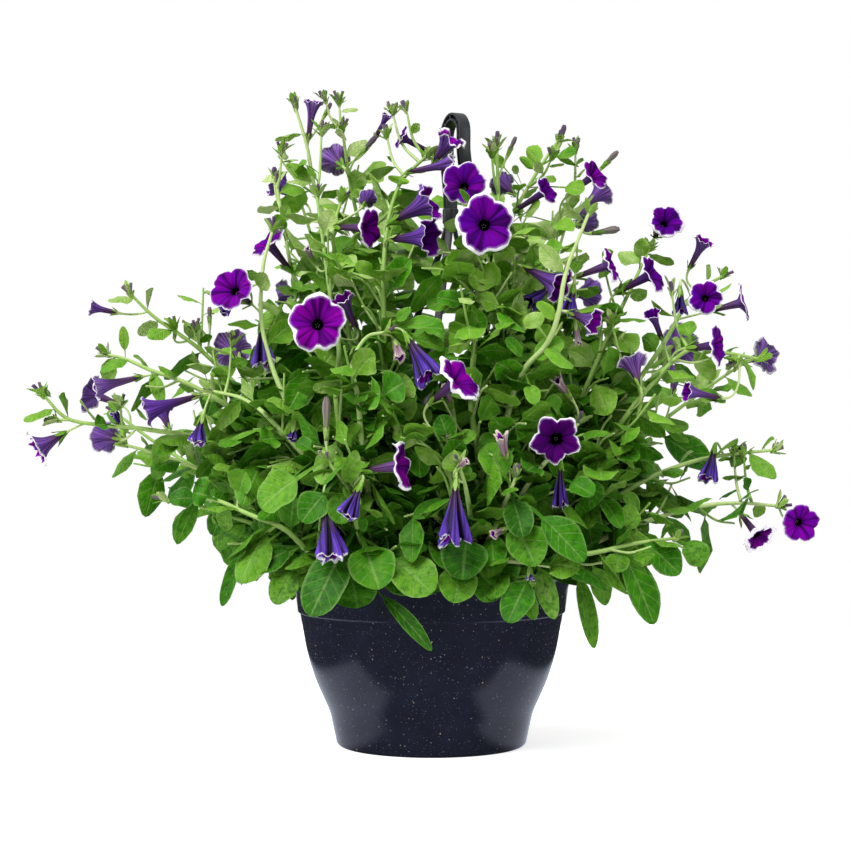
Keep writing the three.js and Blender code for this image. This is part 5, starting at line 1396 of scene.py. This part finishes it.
def foldedGrid(bloom, look):
    form = foldedForms[bloom["kind"]]
    profile = np.array(form["profile"])
    radius, length = bloom["radius"], bloom["length"]
    theta = ringTurns(form["around"])
    rows, marks, lobes = [], [], []
    for t in np.arange(form["rows"]) / (form["rows"] - 1):
        turned = theta + bloom["turn"] + look["twist"] * t
        crumple = form["crumple"] * min(1, 2 * t) * sum(
            share * np.sin(folds * turned + wave)
            for share, folds, wave in zip((0.12, 0.09, 0.03), (3, 7, 12), look["waves"]))
        lobe = np.clip(np.abs(np.cos(2.5 * turned)) + 2.2 * crumple, 0, 1)
        lobes.append(lobe)
        r = max(radius * np.interp(t, profile[:, 0], profile[:, 1]), 1.6)
        r = r * (1 - form["pleat"] * min(1, 1.6 * t) * (1 - lobe) + 0.6 * crumple)
        h = length * t + 0 * theta
        if bloom["kind"] != "bud":   # ragged lips, cut in between the lobes and flared at their ends
            h = h + length * t ** 3 * (0.05 * np.sin(5 * turned + look["waves"][1])
                                       + 0.06 * np.sin(2 * theta + look["waves"][2]) - 0.05 * t * (1 - lobe))
            r = r * (1 + 0.5 * max(0, t - 0.84) * lobe)
        bow = look["bow"] * length * t * t
        rows.append(np.stack([r * np.cos(theta) + bow, r * np.sin(theta), h], axis=1))
        marks.append(t)
    return np.array(rows), np.array(marks), theta, np.array(lobes)


def gridNormals(grid):
    alongRows = np.gradient(grid, axis=0)
    alongRing = np.roll(grid, -1, axis=1) - np.roll(grid, 1, axis=1)
    normal = np.cross(alongRing, alongRows)
    return normal / np.maximum(norm(normal, axis=2, keepdims=True), 1e-9)


# Every bloom's own numbers, drawn, and then what bloomLooks gives it.
def bloomLook(bloom, seed):
    draw = draws(seed)
    look = {
        "rim": 0.022 + 0.035 * draw(), "tint": 0.1 + 0.8 * draw(), "point": 0.02 * draw(),
        "deep": 0.56 if bloom["kind"] == "open" else 0.6, "dark": 0.0,
        "ruffle": bloomForm["ruffle"] * (0.5 + draw()) * (1 if bloom["kind"] == "open" else 1.7),
        "waves": [fullTurn * draw() for _ in range(3)], "curl": 0.12 + 0.2 * draw(),
        "twist": 1.6 * (draw() - 0.5), "bow": 0.2 * (draw() - 0.5),
    }
    look.update(bloomLooks.get(bloom["name"], {}))
    if bloom["kind"] == "limp":
        look["rim"] *= 0.6
    return look


# The blooms of one plant in one mesh, with a material for each kind of skin.
def bloomsPiece(name, blooms, seed):
    points, faces, slots = [], [], []
    values = {"ray": [], "lobe": [], "rim": [], "deep": [], "tint": [], "dark": []}
    skins = {"face": "face", "back": "back", "limp": "wilted", "husk": "husk", "bud": "bud"}

    def addFaces(skin, added):
        faces.extend(added)
        slots.extend([list(skins).index(skin)] * len(added))

    for number, bloom in enumerate(blooms):
        look = bloomLook(bloom, seed + number)
        side, up = squareTo(bloom["axis"])
        turned = np.array([side, -up, bloom["axis"]])   # right-handed

        def addPoints(local, theta, mark, lobe):
            first = len(points)
            points.extend((local.reshape(-1, 3) @ turned + bloom["base"]) * mm)
            values["ray"].extend(np.stack([np.cos(theta), np.sin(theta), mark], axis=1))
            values["lobe"].extend(lobe)
            for key in ("rim", "tint", "deep", "dark"):
                values[key].extend([look[key]] * len(lobe))
            return first

        kind = bloom["kind"]
        hollow = kind in ("open", "horn")
        grid, marks, theta, lobe = (trumpetGrid if hollow else foldedGrid)(bloom, look)
        rows, around = grid.shape[:2]
        tiled = (np.tile(theta, rows), np.repeat(marks, around), lobe.ravel())
        foot, end = grid[0].mean(axis=0), grid[-1].mean(axis=0)
        last = (rows - 1) * around
        if hollow:
            thick, thin = bloomForm["thick"], bloomForm["edgeThick"]
            half = np.interp(marks, [0, bloomForm["tubeMark"], 1], [thick, thick, thin]) / 2
            offset = gridNormals(grid) * half[:, None, None]
            outer = addPoints(grid + offset, *tiled)
            addFaces("back", sheetFaces(rows, around, outer))
            inner = addPoints(grid - offset, *tiled)
            addFaces("face", sheetFaces(rows, around, inner, True))
            addFaces("face", ringFaces(outer + last, inner + last, around))
            pole = addPoints(np.array([foot - [0, 0, 0.2], foot + [0, 0, 1.0]]), *np.zeros((3, 2)))
            addFaces("back", fanFaces(outer, pole, around, True))
            addFaces("face", fanFaces(inner, pole + 1, around))
        else:
            first = addPoints(grid, *tiled)
            addFaces(kind, sheetFaces(rows, around, first))
            tuck, depth, poleMark, inside = first + last, 0.0, 0.9, "bud"
            if kind != "bud":   # the rolled-in lips: one more ring inside the mouth, and a deep pole
                rolled = end + (grid[-1] - end) * 0.72 - [0, 0, 0.07 * bloom["length"]]
                ring = addPoints(rolled, theta, np.full(around, 0.93), lobe[-1])
                addFaces(kind, ringFaces(tuck, ring, around))
                tuck, depth, poleMark, inside = ring, 0.2 * bloom["length"], 0.2, "face"
            pole = addPoints(np.array([foot - [0, 0, 0.2], end - [0, 0, depth]]), np.zeros(2),
                             np.array([0, poleMark]), np.zeros(2))
            addFaces(kind, fanFaces(first, pole, around, True))
            addFaces(inside, fanFaces(tuck, pole + 1, around))
    piece = meshPiece(name, points, faces, values)
    for finish in skins.values():
        piece.data.materials.append(finishes[finish])
    piece.data.polygons.foreach_set("material_index", slots)
    return piece


# A bloom's stalk, bent up from the stem and thick under the calyx.
def stalkLine(bloom, draw):
    aim = bloom["base"] - bloom["axis"] * stemSizes["stalkReach"] + down * stemSizes["stalkDrop"]
    foot = nearestOn(bloom["line"], aim)
    reach = norm(foot - bloom["base"])
    bend = bloom["base"] - bloom["axis"] * min(stemSizes["stalkBend"], 0.6 * reach)
    t = np.linspace(0, 1, stemSizes["stalkPoints"])[:, None]
    points = foot * (1 - t) ** 2 + 2 * bend * t * (1 - t) + bloom["base"] * t ** 2
    radii = np.interp(t[:, 0], stemSizes["stalkAt"], stemSizes["stalkRadii"])
    return {"points": points, "radii": radii, "tint": 0.5 + 0.4 * draw()}


# The five narrow sepals round a bloom's foot, and the young leaves and tiny buds round the growing tip of a
# stem. Pairs are the least and the most.
sepalForm = {
    "count": 5, "spread": {"open": 0.5, "horn": 0.42, "limp": 0.2, "husk": 0.22, "bud": 0.12},
    "length": (14, 18), "width": 4.0, "under": 2.5,
}
tipForm = {
    "leaves": 9, "turn": 0.382, "length": (10, 19), "buds": 3, "budLength": (7, 13), "budRadius": (1.5, 2.0),
}


def sepalsOf(bloom, draw):
    spread = sepalForm["spread"][bloom["kind"]]
    size = min(max(bloom["radius"] / 20, 0.55), 1.05) if bloom["kind"] in ("open", "horn") else (
        0.9 if bloom["kind"] == "limp" else min(1.0, 0.35 + bloom["length"] / 50))
    root = bloom["base"] - bloom["axis"] * sepalForm["under"]
    found = []
    for i in range(sepalForm["count"]):
        turn = fullTurn * (i + 0.3 * draw()) / sepalForm["count"] + bloom["turn"]
        out = outAt(*squareTo(bloom["axis"]), turn)
        along = tilted(bloom["axis"], out, spread * (0.75 + 0.5 * draw()))
        found.append({
            "root": root + out * 1.4, "along": along, "normal": unit(out - along * out.dot(along)),
            "length": mix(*sepalForm["length"], draw()) * size, "width": sepalForm["width"] * size, "neck": 0.1,
            "droop": 0.1 * (draw() - 0.3), "fold": -0.5, "phase": 6 * draw(), "tint": 0.5 + 0.4 * draw()})
    return found


def tipCluster(line, draw):
    axis = unit(unit(line[-1] - line[-3]) + np.array([0, 0, 0.6]))
    side, up = squareTo(axis)
    leaves = []
    for i in range(tipForm["leaves"]):
        out = outAt(side, up, fullTurn * i * tipForm["turn"] + 2 * draw())
        along = tilted(axis, out, 0.2 + 0.8 * draw())
        length = mix(*tipForm["length"], draw())
        leaves.append({
            "root": line[-1] - axis * 6 * draw(), "along": along,
            "normal": unit(axis - along * axis.dot(along)), "length": length,
            "width": length * (0.28 + 0.14 * draw()), "neck": 0.05, "droop": 0.25 * (draw() - 0.3), "fold": 0.5,
            "phase": 6 * draw(), "tint": 0.6 + 0.4 * draw()})
    buds = []
    for i in range(tipForm["buds"]):
        out = outAt(side, up, fullTurn * draw())
        along = tilted(axis, out, 0.15 + 0.5 * draw())
        length = mix(*tipForm["budLength"], draw())
        buds.append({"kind": "bud", "axis": along, "base": line[-1] + along * 0.5,
                     "radius": mix(*tipForm["budRadius"], draw()), "length": length, "turn": 6 * draw(),
                     "name": "tip"})
    return leaves, buds


# One plant's pieces: stems, leaves, young leaves with sepals, and blooms.
def dressPlant(p, plant):
    name = plant["name"]
    draw = draws(700 + p)
    lines = []
    for line in plant["lines"]:
        share = np.linspace(0, 1, len(line))
        radii = mix(stemSizes["base"], stemSizes["tip"], share ** 0.7)
        lines.append({"points": line, "radii": radii, "tint": 0.3 + 0.5 * draw()})
    lines.append({"points": np.array([[*plant["start"][:2], z] for z in stemSizes["crownHigh"]]),
                  "radii": stemSizes["crownRadii"], "tint": 0.3})
    lines += [stalkLine(bloom, draw) for bloom in plant["blooms"]]
    inner = innerStems(plant, plants[p]["turn"], 900 + p)
    dome = domeShoots(plant, [line[6:] for line in plant["lines"] + inner], 5000 + p)
    shoots = [shoot for s, line in enumerate(plant["lines"]) for shoot in shootsOf(line, 2000 + 60 * p + s)]
    tips = tipShoots(plant)
    for paths, thick in ((inner, "innerRadius"), (shoots + dome, "shootRadius"), (tips, "tipRadius")):
        for path in paths:
            radii = mix(bush[thick], bush["endRadius"], np.linspace(0, 1, len(path)))
            lines.append({"points": path, "radii": radii, "tint": 0.2 + 0.6 * draw()})
    stems = linesPiece(f"{name}_stems", lines)
    shown = [shownLeaf(row, plant["lines"]) for row in plants[p]["leaves"]]
    shown += skirtLeaves(plant)
    ruled = []
    for paths, rule in ((plant["lines"], leafRule), (inner, innerRule), (shoots, shootRule), (dome, domeRule),
                        (tips, tipRule)):
        first = rule["seeds"][0] + rule["seeds"][1] * p
        ruled += [leaf for s, path in enumerate(paths) for leaf in leavesAlong(path, first + s, rule)]
    tones = leafTones
    for leaf in shown + ruled:
        x, y, z = leafPoint(leaf, 0.7)
        high = min(max((z - tones["highFrom"]) / tones["highSpan"], 0), 1)
        reach = np.interp(z, canopy["high"], canopy["reach"])
        out = min(math.hypot(x, y) / reach, tones["outerMost"]) / tones["outerMost"]
        # High and outer leaves are lighter, low and inner ones darker: partly young growth, partly painted light and
        # painted shade.
        leaf["tint"] = (
            tones["least"] + tones["outer"] * out + tones["high"] * high + tones["young"] * leaf["share"]
            + tones["chance"] * (draw() - tones["chanceMiddle"]))
        leaf["age"] = (1 - high) ** 1.5 * (tones["ageFrom"] + (1 - tones["ageFrom"]) * draw())
        leaf["fold"] = tones["foldFrom"] + tones["foldSpan"] * draw()
        leaf["phase"] = 6 * draw()
    small, buds = [], []
    for line in plant["lines"] + tips:
        young, tipBuds = tipCluster(line, draw)
        small += young
        buds += tipBuds
    small += [sepal for bloom in plant["blooms"] for sepal in sepalsOf(bloom, draw)]
    made = [
        stems, leavesPiece(f"{name}_shown_leaves", shown, "fineLeaf"),
        leavesPiece(f"{name}_leaves", ruled, "leaf"), leavesPiece(f"{name}_sepals", small, "sepal"),
    ]
    flowers = bloomsPiece(f"{name}_blooms", plant["blooms"] + buds, 4000 + 100 * p)
    for piece in made:
        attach(piece, "root")
        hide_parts("plant_" + name)
    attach(flowers, "root")
    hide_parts(*[n for n in frame["nodes"] if n.startswith(f"bloom_{name}_")])
    print(name, "leaves:", len(shown), "+", len(ruled), "small:", len(small), "blooms:", len(plant["blooms"]))


for p, plant in enumerate(grown):
    dressPlant(p, plant)
for form in forms.values():
    bpy.data.objects.remove(form)

# Anthers and stigma in every open throat: beads set on points.
beads = {"count": 5, "circle": 0.06, "depth": 0.66, "radius": 0.5}


def beadTree():
    tree, add, given, result = startTree("anther beads", {"Radius": "Float", "Bead finish": "Material"})
    bead = add("GeometryNodeMeshUVSphere", links={"Segments": 6, "Rings": 4, "Radius": given["Radius"]})
    placed = add("GeometryNodeInstanceOnPoints", links={
        "Points": given["Geometry"], "Instance": bead.outputs["Mesh"]})
    shaded = add("GeometryNodeSetShadeSmooth", links={"Geometry": placed})
    endTree(add, result, shaded, given["Bead finish"])
    return tree


beadSpots = []
for bloom in allBlooms:
    if bloom["kind"] != "open":
        continue
    side, up = squareTo(bloom["axis"])
    centre = bloom["base"] + bloom["axis"] * bloom["length"] * beads["depth"]
    for i in range(beads["count"]):
        out = outAt(side, up, fullTurn * i / beads["count"] + bloom["turn"])
        beadSpots.append((centre + out * bloom["radius"] * beads["circle"]) * mm)
source = meshPiece("anther_points", beadSpots, [])
anthers = grownPiece("anthers", source, beadTree(), {
    "Radius": beads["radius"] * mm, "Bead finish": finishes["pollen"]})
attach(anthers, "root")
print("anthers:", len(beadSpots))

# The pot: the frame's profile with rounded corners, turned finely. Profiles are radius and height.
potSizes = {
    "outside": [(92, 0), (94.5, 2), (97, 14), (101, 33), (108, 48), (116, 66), (124, 91), (131, 131.5),
                (133.2, 132.5), (136.8, 160), (141, 168), (150, 171), (152.5, 174), (152, 181)],
    "inside": [(145, 181), (135, 166), (129, 126), (113, 66), (98, 33), (91, 3)],
    "rounding": [1.5, 2, 9, 12, 14, 20, 30, 0.8, 0.5, 5, 4, 2.5, 1.5, 1.5, 1.5, 6, 12, 20, 12, 2],
    "around": 160, "holes": 4, "holeRadius": 5, "holeCircle": 62, "holeSides": 24, "cut": (-3, 6), "floor": 3,
    "corner": 50,
}


# A profile whose corners are cut back by their radius and rounded in a few steps.
def roundedProfile(profile, radii, steps=5):
    rounded = [np.array(profile[0], float)]
    for before, at, after, radius in zip(profile[:-2], profile[1:-1], profile[2:], radii[1:-1]):
        before, at, after = (np.array(p, float) for p in (before, at, after))
        room = 0.45 * min(norm(before - at), norm(after - at))
        cut = min(radius, room)
        start, end = at + unit(before - at) * cut, at + unit(after - at) * cut
        for t in np.linspace(0, 1, steps):
            rounded.append(start * (1 - t) ** 2 + 2 * at * t * (1 - t) + end * t ** 2)
    rounded.append(np.array(profile[-1], float))
    return rounded


# A profile turned about the vertical, closed by a fan at each end.
def turnedPiece(name, profile, around, bottom, top):
    points = [(r * math.cos(a) * mm, r * math.sin(a) * mm, z * mm)
              for r, z in profile for a in ringTurns(around)]
    low, last = len(points), (len(profile) - 1) * around
    points += [(0, 0, bottom * mm), (0, 0, top * mm)]
    faces = sheetFaces(len(profile), around) + fanFaces(0, low, around, True) + fanFaces(last, low + 1, around)
    return meshPiece(name, points, faces)


def makePot():
    sizes = potSizes
    profile = roundedProfile(sizes["outside"] + sizes["inside"], sizes["rounding"])
    pot = turnedPiece("pot_shell", profile, sizes["around"], 0, sizes["floor"])
    for i in range(sizes["holes"]):
        a = fullTurn * (i + 0.5) / sizes["holes"]
        x, y, radius = sizes["holeCircle"] * math.cos(a), sizes["holeCircle"] * math.sin(a), sizes["holeRadius"]
        points = [((x + radius * math.cos(t)) * mm, (y + radius * math.sin(t)) * mm, z * mm)
                  for z in sizes["cut"] for t in ringTurns(sizes["holeSides"])]
        cutter = meshPiece("hole_cutter", points, sweptFaces(2, sizes["holeSides"]))
        cut = pot.modifiers.new("hole", "BOOLEAN")
        cut.operation, cut.solver, cut.object = "DIFFERENCE", "EXACT", cutter
        made = finishedMesh(pot)
        pot.modifiers.remove(cut)
        pot.data = made
        bpy.data.objects.remove(cutter)
    return finishMoulding(pot, "pot", sizes["corner"])


pot = makePot()
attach(pot, "root")
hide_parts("pot")
print("pot faces:", len(pot.data.polygons))

# The soil: a mound inside the wall with crumbs scattered on it.
soilSizes = {
    "outside": [(88, 3.6), (96.5, 33.5), (111.5, 66.5), (127.5, 126.5), (131.0, 157.5)], "edge": 131.2,
    "top": 162, "edgeDrop": 4, "mound": 5, "around": 96, "rings": 26, "rough": 1.6, "roughFrom": 158.5,
    "seed": 55, "crumb": 2.2, "crumbs": 1100, "crumbsFrom": 158.6, "crumbSeed": 3,
}


def makeSoil():
    sizes = soilSizes
    draw = draws(sizes["seed"])
    profile = list(sizes["outside"])
    for i in range(sizes["rings"]):
        t = 1 - i / sizes["rings"]
        high = sizes["top"] - sizes["edgeDrop"] * t ** 8 + sizes["mound"] * (1 - t * t)
        profile.append((sizes["edge"] * t, high))
    soil = turnedPiece("soil_bed", profile, sizes["around"], profile[0][1], sizes["top"] + sizes["mound"])
    for vertex in soil.data.vertices:
        if vertex.co.z > sizes["roughFrom"] * mm:
            vertex.co.z += sizes["rough"] * mm * (draw() - 0.5)
    soil.data.materials.append(finishes["soil"])
    return soil


def crumbTree():
    tree, add, given, result = startTree("soil crumbs", {
        "Crumb": "Float", "Top": "Float", "Seed": "Int", "Crumbs": "Float", "Soil finish": "Material"})
    place = add("GeometryNodeInputPosition")
    high = add("SeparateXYZ", links=[place])
    over = add("FunctionNodeCompare", {"operation": "GREATER_THAN"}, [high.outputs[2], given["Top"]])
    spots = add("GeometryNodeDistributePointsOnFaces", links={
        "Mesh": given["Geometry"], "Selection": over, "Density": given["Crumbs"],
        "Seed": given["Seed"]})
    crumb = add("GeometryNodeMeshIcoSphere", links={"Radius": given["Crumb"], "Subdivisions": 1})
    turn = add("FunctionNodeRandomValue", {"data_type": "FLOAT_VECTOR"}, {
        0: (0, 0, 0), 1: (fullTurn, fullTurn, fullTurn), "Seed": given["Seed"]})
    size = add("FunctionNodeRandomValue", {"data_type": "FLOAT_VECTOR"}, {
        0: (0.3, 0.3, 0.2), 1: (1.3, 1.0, 0.8), "Seed": given["Seed"]})
    placed = add("GeometryNodeInstanceOnPoints", links={
        "Points": spots.outputs["Points"], "Instance": crumb.outputs["Mesh"], "Rotation": turn.outputs[0],
        "Scale": size.outputs[0]})
    both = add("GeometryNodeJoinGeometry", links=[placed])
    feedNode(both, [given["Geometry"]])
    endTree(add, result, both, given["Soil finish"])
    return tree


soilArea = math.pi * (soilSizes["edge"] * mm) ** 2
soil = grownPiece("soil", makeSoil(), crumbTree(), {
    "Crumb": soilSizes["crumb"] * mm, "Top": soilSizes["crumbsFrom"] * mm, "Seed": soilSizes["crumbSeed"],
    "Crumbs": soilSizes["crumbs"] / soilArea, "Soil finish": finishes["soil"]})
soil.name = "soil_bed"
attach(soil, "root")
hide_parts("soil")
print("soil faces:", len(soil.data.polygons))

# The hanger: the hook's ribbed section and the arms' straps, swept finely with softened edges. Shank and
# tip are places across and up in the hook's own plane, and ribs are shares of its length.
hangerSizes = {
    "turn": -66, "shank": [(-1, 545), (-4, 562), (-7.5, 578), (-8.8, 592)], "bend": 20, "offset": 11,
    "centre": 604, "bendTurns": (165, 135, 105, 75, 45, 15), "tip": [(19.5, 590), (23, 574)], "steps": 60,
    "wide": 12, "deep": 8, "wall": 2.2, "ribs": (0.25, 0.36, 0.5, 0.62, 0.75, 0.88), "ribThick": 1.6,
    "hubLow": 519, "hubHigh": 534, "hubRadius": 8, "hubEdge": 0.8, "hubAround": 40, "armWide": 7.5,
    "tabWide": 6, "tabPoints": 6, "armThick": 2.6, "bevel": 0.45, "ribBevel": 0.2, "hubBevel": 0.3,
    "corner": 35,
}


# Turns faces outward and rounds the edges, and keeps the result as a plain mesh.
def softened(piece, width):
    work = bmesh.new()
    work.from_mesh(piece.data)
    bmesh.ops.recalc_face_normals(work, faces=work.faces)
    work.to_mesh(piece.data)
    work.free()
    bevel = piece.modifiers.new("bevel", "BEVEL")
    bevel.width, bevel.segments = width * mm, 2
    bevel.limit_method, bevel.angle_limit = "ANGLE", math.radians(40)
    made = finishedMesh(piece)
    piece.modifiers.clear()
    piece.data = made
    return finishMoulding(piece, "hanger", hangerSizes["corner"])


# A section carried along a line. outlineAt gives it for each point of the line, across and out.
def sweptPiece(name, line, across, outlineAt):
    points = []
    for i, at in enumerate(line):
        along = unit(line[min(i + 1, len(line) - 1)] - line[max(i - 1, 0)])
        out = np.cross(along, across)
        points += [(at + across * a + out * b) * mm for a, b in outlineAt(i)]
    return meshPiece(name, points, sweptFaces(len(line), len(outlineAt(0))))


square = ((-1, -1), (1, -1), (1, 1), (-1, 1))


def makeHook():
    sizes = hangerSizes
    turn = math.radians(sizes["turn"])
    plane = np.array([math.cos(turn), math.sin(turn), 0])
    across = np.array([-plane[1], plane[0], 0])
    offset, radius = sizes["offset"], sizes["bend"]
    bend = [(offset + radius * math.cos(a), sizes["centre"] + radius * math.sin(a))
            for a in np.radians(sizes["bendTurns"])]
    tip = [(offset + u, v) for u, v in sizes["tip"]]
    line = [np.array([standing["hubX"], 0, v]) + plane * u
            for u, v in [(0, sizes["hubHigh"] - 2), *sizes["shank"], *bend, *tip]]
    fine = smoothLine(line, sizes["steps"])
    w, d, f, web = sizes["wide"] / 2, sizes["deep"] / 2, sizes["wall"], sizes["wall"] / 2
    outline = [(-w, -d), (w, -d), (w, f - d), (web, f - d), (web, d - f), (w, d - f),
               (w, d), (-w, d), (-w, d - f), (-web, d - f), (-web, f - d), (-w, f - d)]
    hook = sweptPiece("hook_bow", fine, across, lambda i: outline)
    ribs = []
    for share in sizes["ribs"]:
        i = round(share * (len(fine) - 1))
        along = unit(fine[i + 1] - fine[i - 1])
        out = np.cross(along, across)
        thick = sizes["ribThick"] / 2
        box = [(fine[i] + along * e * thick + across * a * (w - 0.5) + out * b * (d - f / 2)) * mm
               for e in (-1, 1) for a, b in square]
        ribs.append(meshPiece(f"hook_rib_{len(ribs)}", box, sweptFaces(2, 4)))
    low, high, wide, edge = sizes["hubLow"], sizes["hubHigh"], sizes["hubRadius"], sizes["hubEdge"]
    profile = [(3.4, low), (wide - edge, low), (wide, low + edge), (wide, high - edge), (wide - edge, high),
               (3, high)]
    hub = turnedPiece("hook_hub", profile, sizes["hubAround"], low, high)
    hub.data.transform(Matrix.Translation((standing["hubX"] * mm, 0, 0)))
    return [softened(hook, sizes["bevel"]), *[softened(rib, sizes["ribBevel"]) for rib in ribs],
            softened(hub, sizes["hubBevel"])]


def makeArm(number, turn):
    sizes = hangerSizes
    across = np.array([-math.sin(turn), math.cos(turn), 0])
    knots = [armPlace(turn, r, z) for r, z in armLine]

    # The strap is narrower where it enters the hub.
    def strap(i):
        wide = sizes["tabWide"] if i < sizes["tabPoints"] else sizes["armWide"]
        return [(a * wide / 2, b * sizes["armThick"] / 2) for a, b in square]
    line = smoothLine(knots, 4 * (len(knots) - 1))
    return softened(sweptPiece(f"arm_{number}_strap", line, across, strap), sizes["bevel"])


for piece in makeHook():
    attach(piece, "root")
    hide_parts("hanger_hook")
for number, turn in enumerate(armTurns, 1):
    arm = makeArm(number, math.radians(turn))
    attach(arm, "root")
    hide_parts(f"hanger_arm_{number}")
print("hanger made")

# Studio: pale floor, white surround, soft lights, and the camera where the photograph was taken from. The
# surround is white to the eye; as light it is bright above and dim on the camera's side.
studio = {
    "floorRadius": 1.35, "floorSides": 96, "worldSeen": 1.0, "worldTop": 0.62, "worldFront": 0.16,
    "worldLean": 0.45, "worldStep": (-0.35, 0.65),
    "cameraDistance": 1.9, "cameraAcross": -0.006, "cameraHeight": 0.294, "lens": 80.4, "shiftUp": 0.0276,
    "sun": {"from": (-0.35, -0.7, 1.2), "angle": 32, "strength": 2.0},
    # name: (place, aimed at, width, height, watts)
    "lights": {
        "key": ((-1.4, -1.9, 1.9), (0, 0, 0.35), 1.2, 1.2, 27),
        "fill": ((1.9, -1.3, 1.0), (0, 0, 0.3), 1.0, 1.6, 10),
        "edge": ((-1.7, 0.1, 0.6), (0, 0, 0.15), 0.4, 1.4, 9),
    },
}


def makeStudio():
    ring = [(studio["floorRadius"] * math.cos(a), studio["floorRadius"] * math.sin(a), 0)
            for a in ringTurns(studio["floorSides"])]
    floor = meshPiece("studio_floor", ring, [list(range(studio["floorSides"]))])
    floor.data.materials.append(finishes["paper"])
    world = bpy.data.worlds.new("studio_surround")
    bpy.context.scene.world = world
    world.use_nodes = True
    world.node_tree.nodes.clear()
    add = partial(addNode, world.node_tree)
    way = add("SeparateXYZ", links=[add("TexCoord").outputs["Generated"]])
    front = add("Math", timesPlus, [way.outputs[1], studio["worldLean"], way.outputs[2]])
    soft = add("MapRange", smooth, [
        front, studio["worldStep"][0], studio["worldStep"][1], studio["worldFront"],
        studio["worldTop"]])
    ray = add("LightPath")
    strength = add("Mix", {"data_type": "FLOAT"}, {
        0: ray.outputs["Is Camera Ray"], 2: soft, 3: studio["worldSeen"]})
    sky = add("Background", links={"Color": (1, 1, 1, 1), "Strength": strength})
    add("OutputWorld", links={"Surface": sky})
    sun = bpy.data.lights.new("sun", "SUN")
    sun.energy, sun.angle = studio["sun"]["strength"], math.radians(studio["sun"]["angle"])
    addObject("sun", sun).rotation_euler = Vector(studio["sun"]["from"]).to_track_quat("Z", "Y").to_euler()
    for name, (place, aim, width, height, watts) in studio["lights"].items():
        lamp = bpy.data.lights.new(name, "AREA")
        lamp.shape, lamp.size, lamp.size_y, lamp.energy = "RECTANGLE", width, height, watts
        holder = addObject(name, lamp)
        holder.location = place
        holder.rotation_euler = (Vector(aim) - Vector(place)).to_track_quat("-Z", "Y").to_euler()
    camera = bpy.data.cameras.new("camera")
    camera.lens, camera.sensor_width, camera.shift_y = studio["lens"], 36, studio["shiftUp"]
    camera.clip_end = 50
    holder = addObject("camera", camera)
    holder.location = (studio["cameraAcross"], -studio["cameraDistance"], studio["cameraHeight"])
    holder.rotation_euler = (math.pi / 2, 0, 0)
    bpy.context.scene.camera = holder
    bpy.context.scene.view_settings.view_transform = "Standard"


makeStudio()
print("studio made")

counts = {}
for piece in bpy.context.scene.objects:
    if piece.type == "MESH" and not piece.hide_render:
        counts[piece.name] = sum(len(face.vertices) - 2 for face in piece.data.polygons)
print("triangles:", sum(counts.values()), "most:", sorted(counts.items(), key=lambda item: -item[1])[:6])
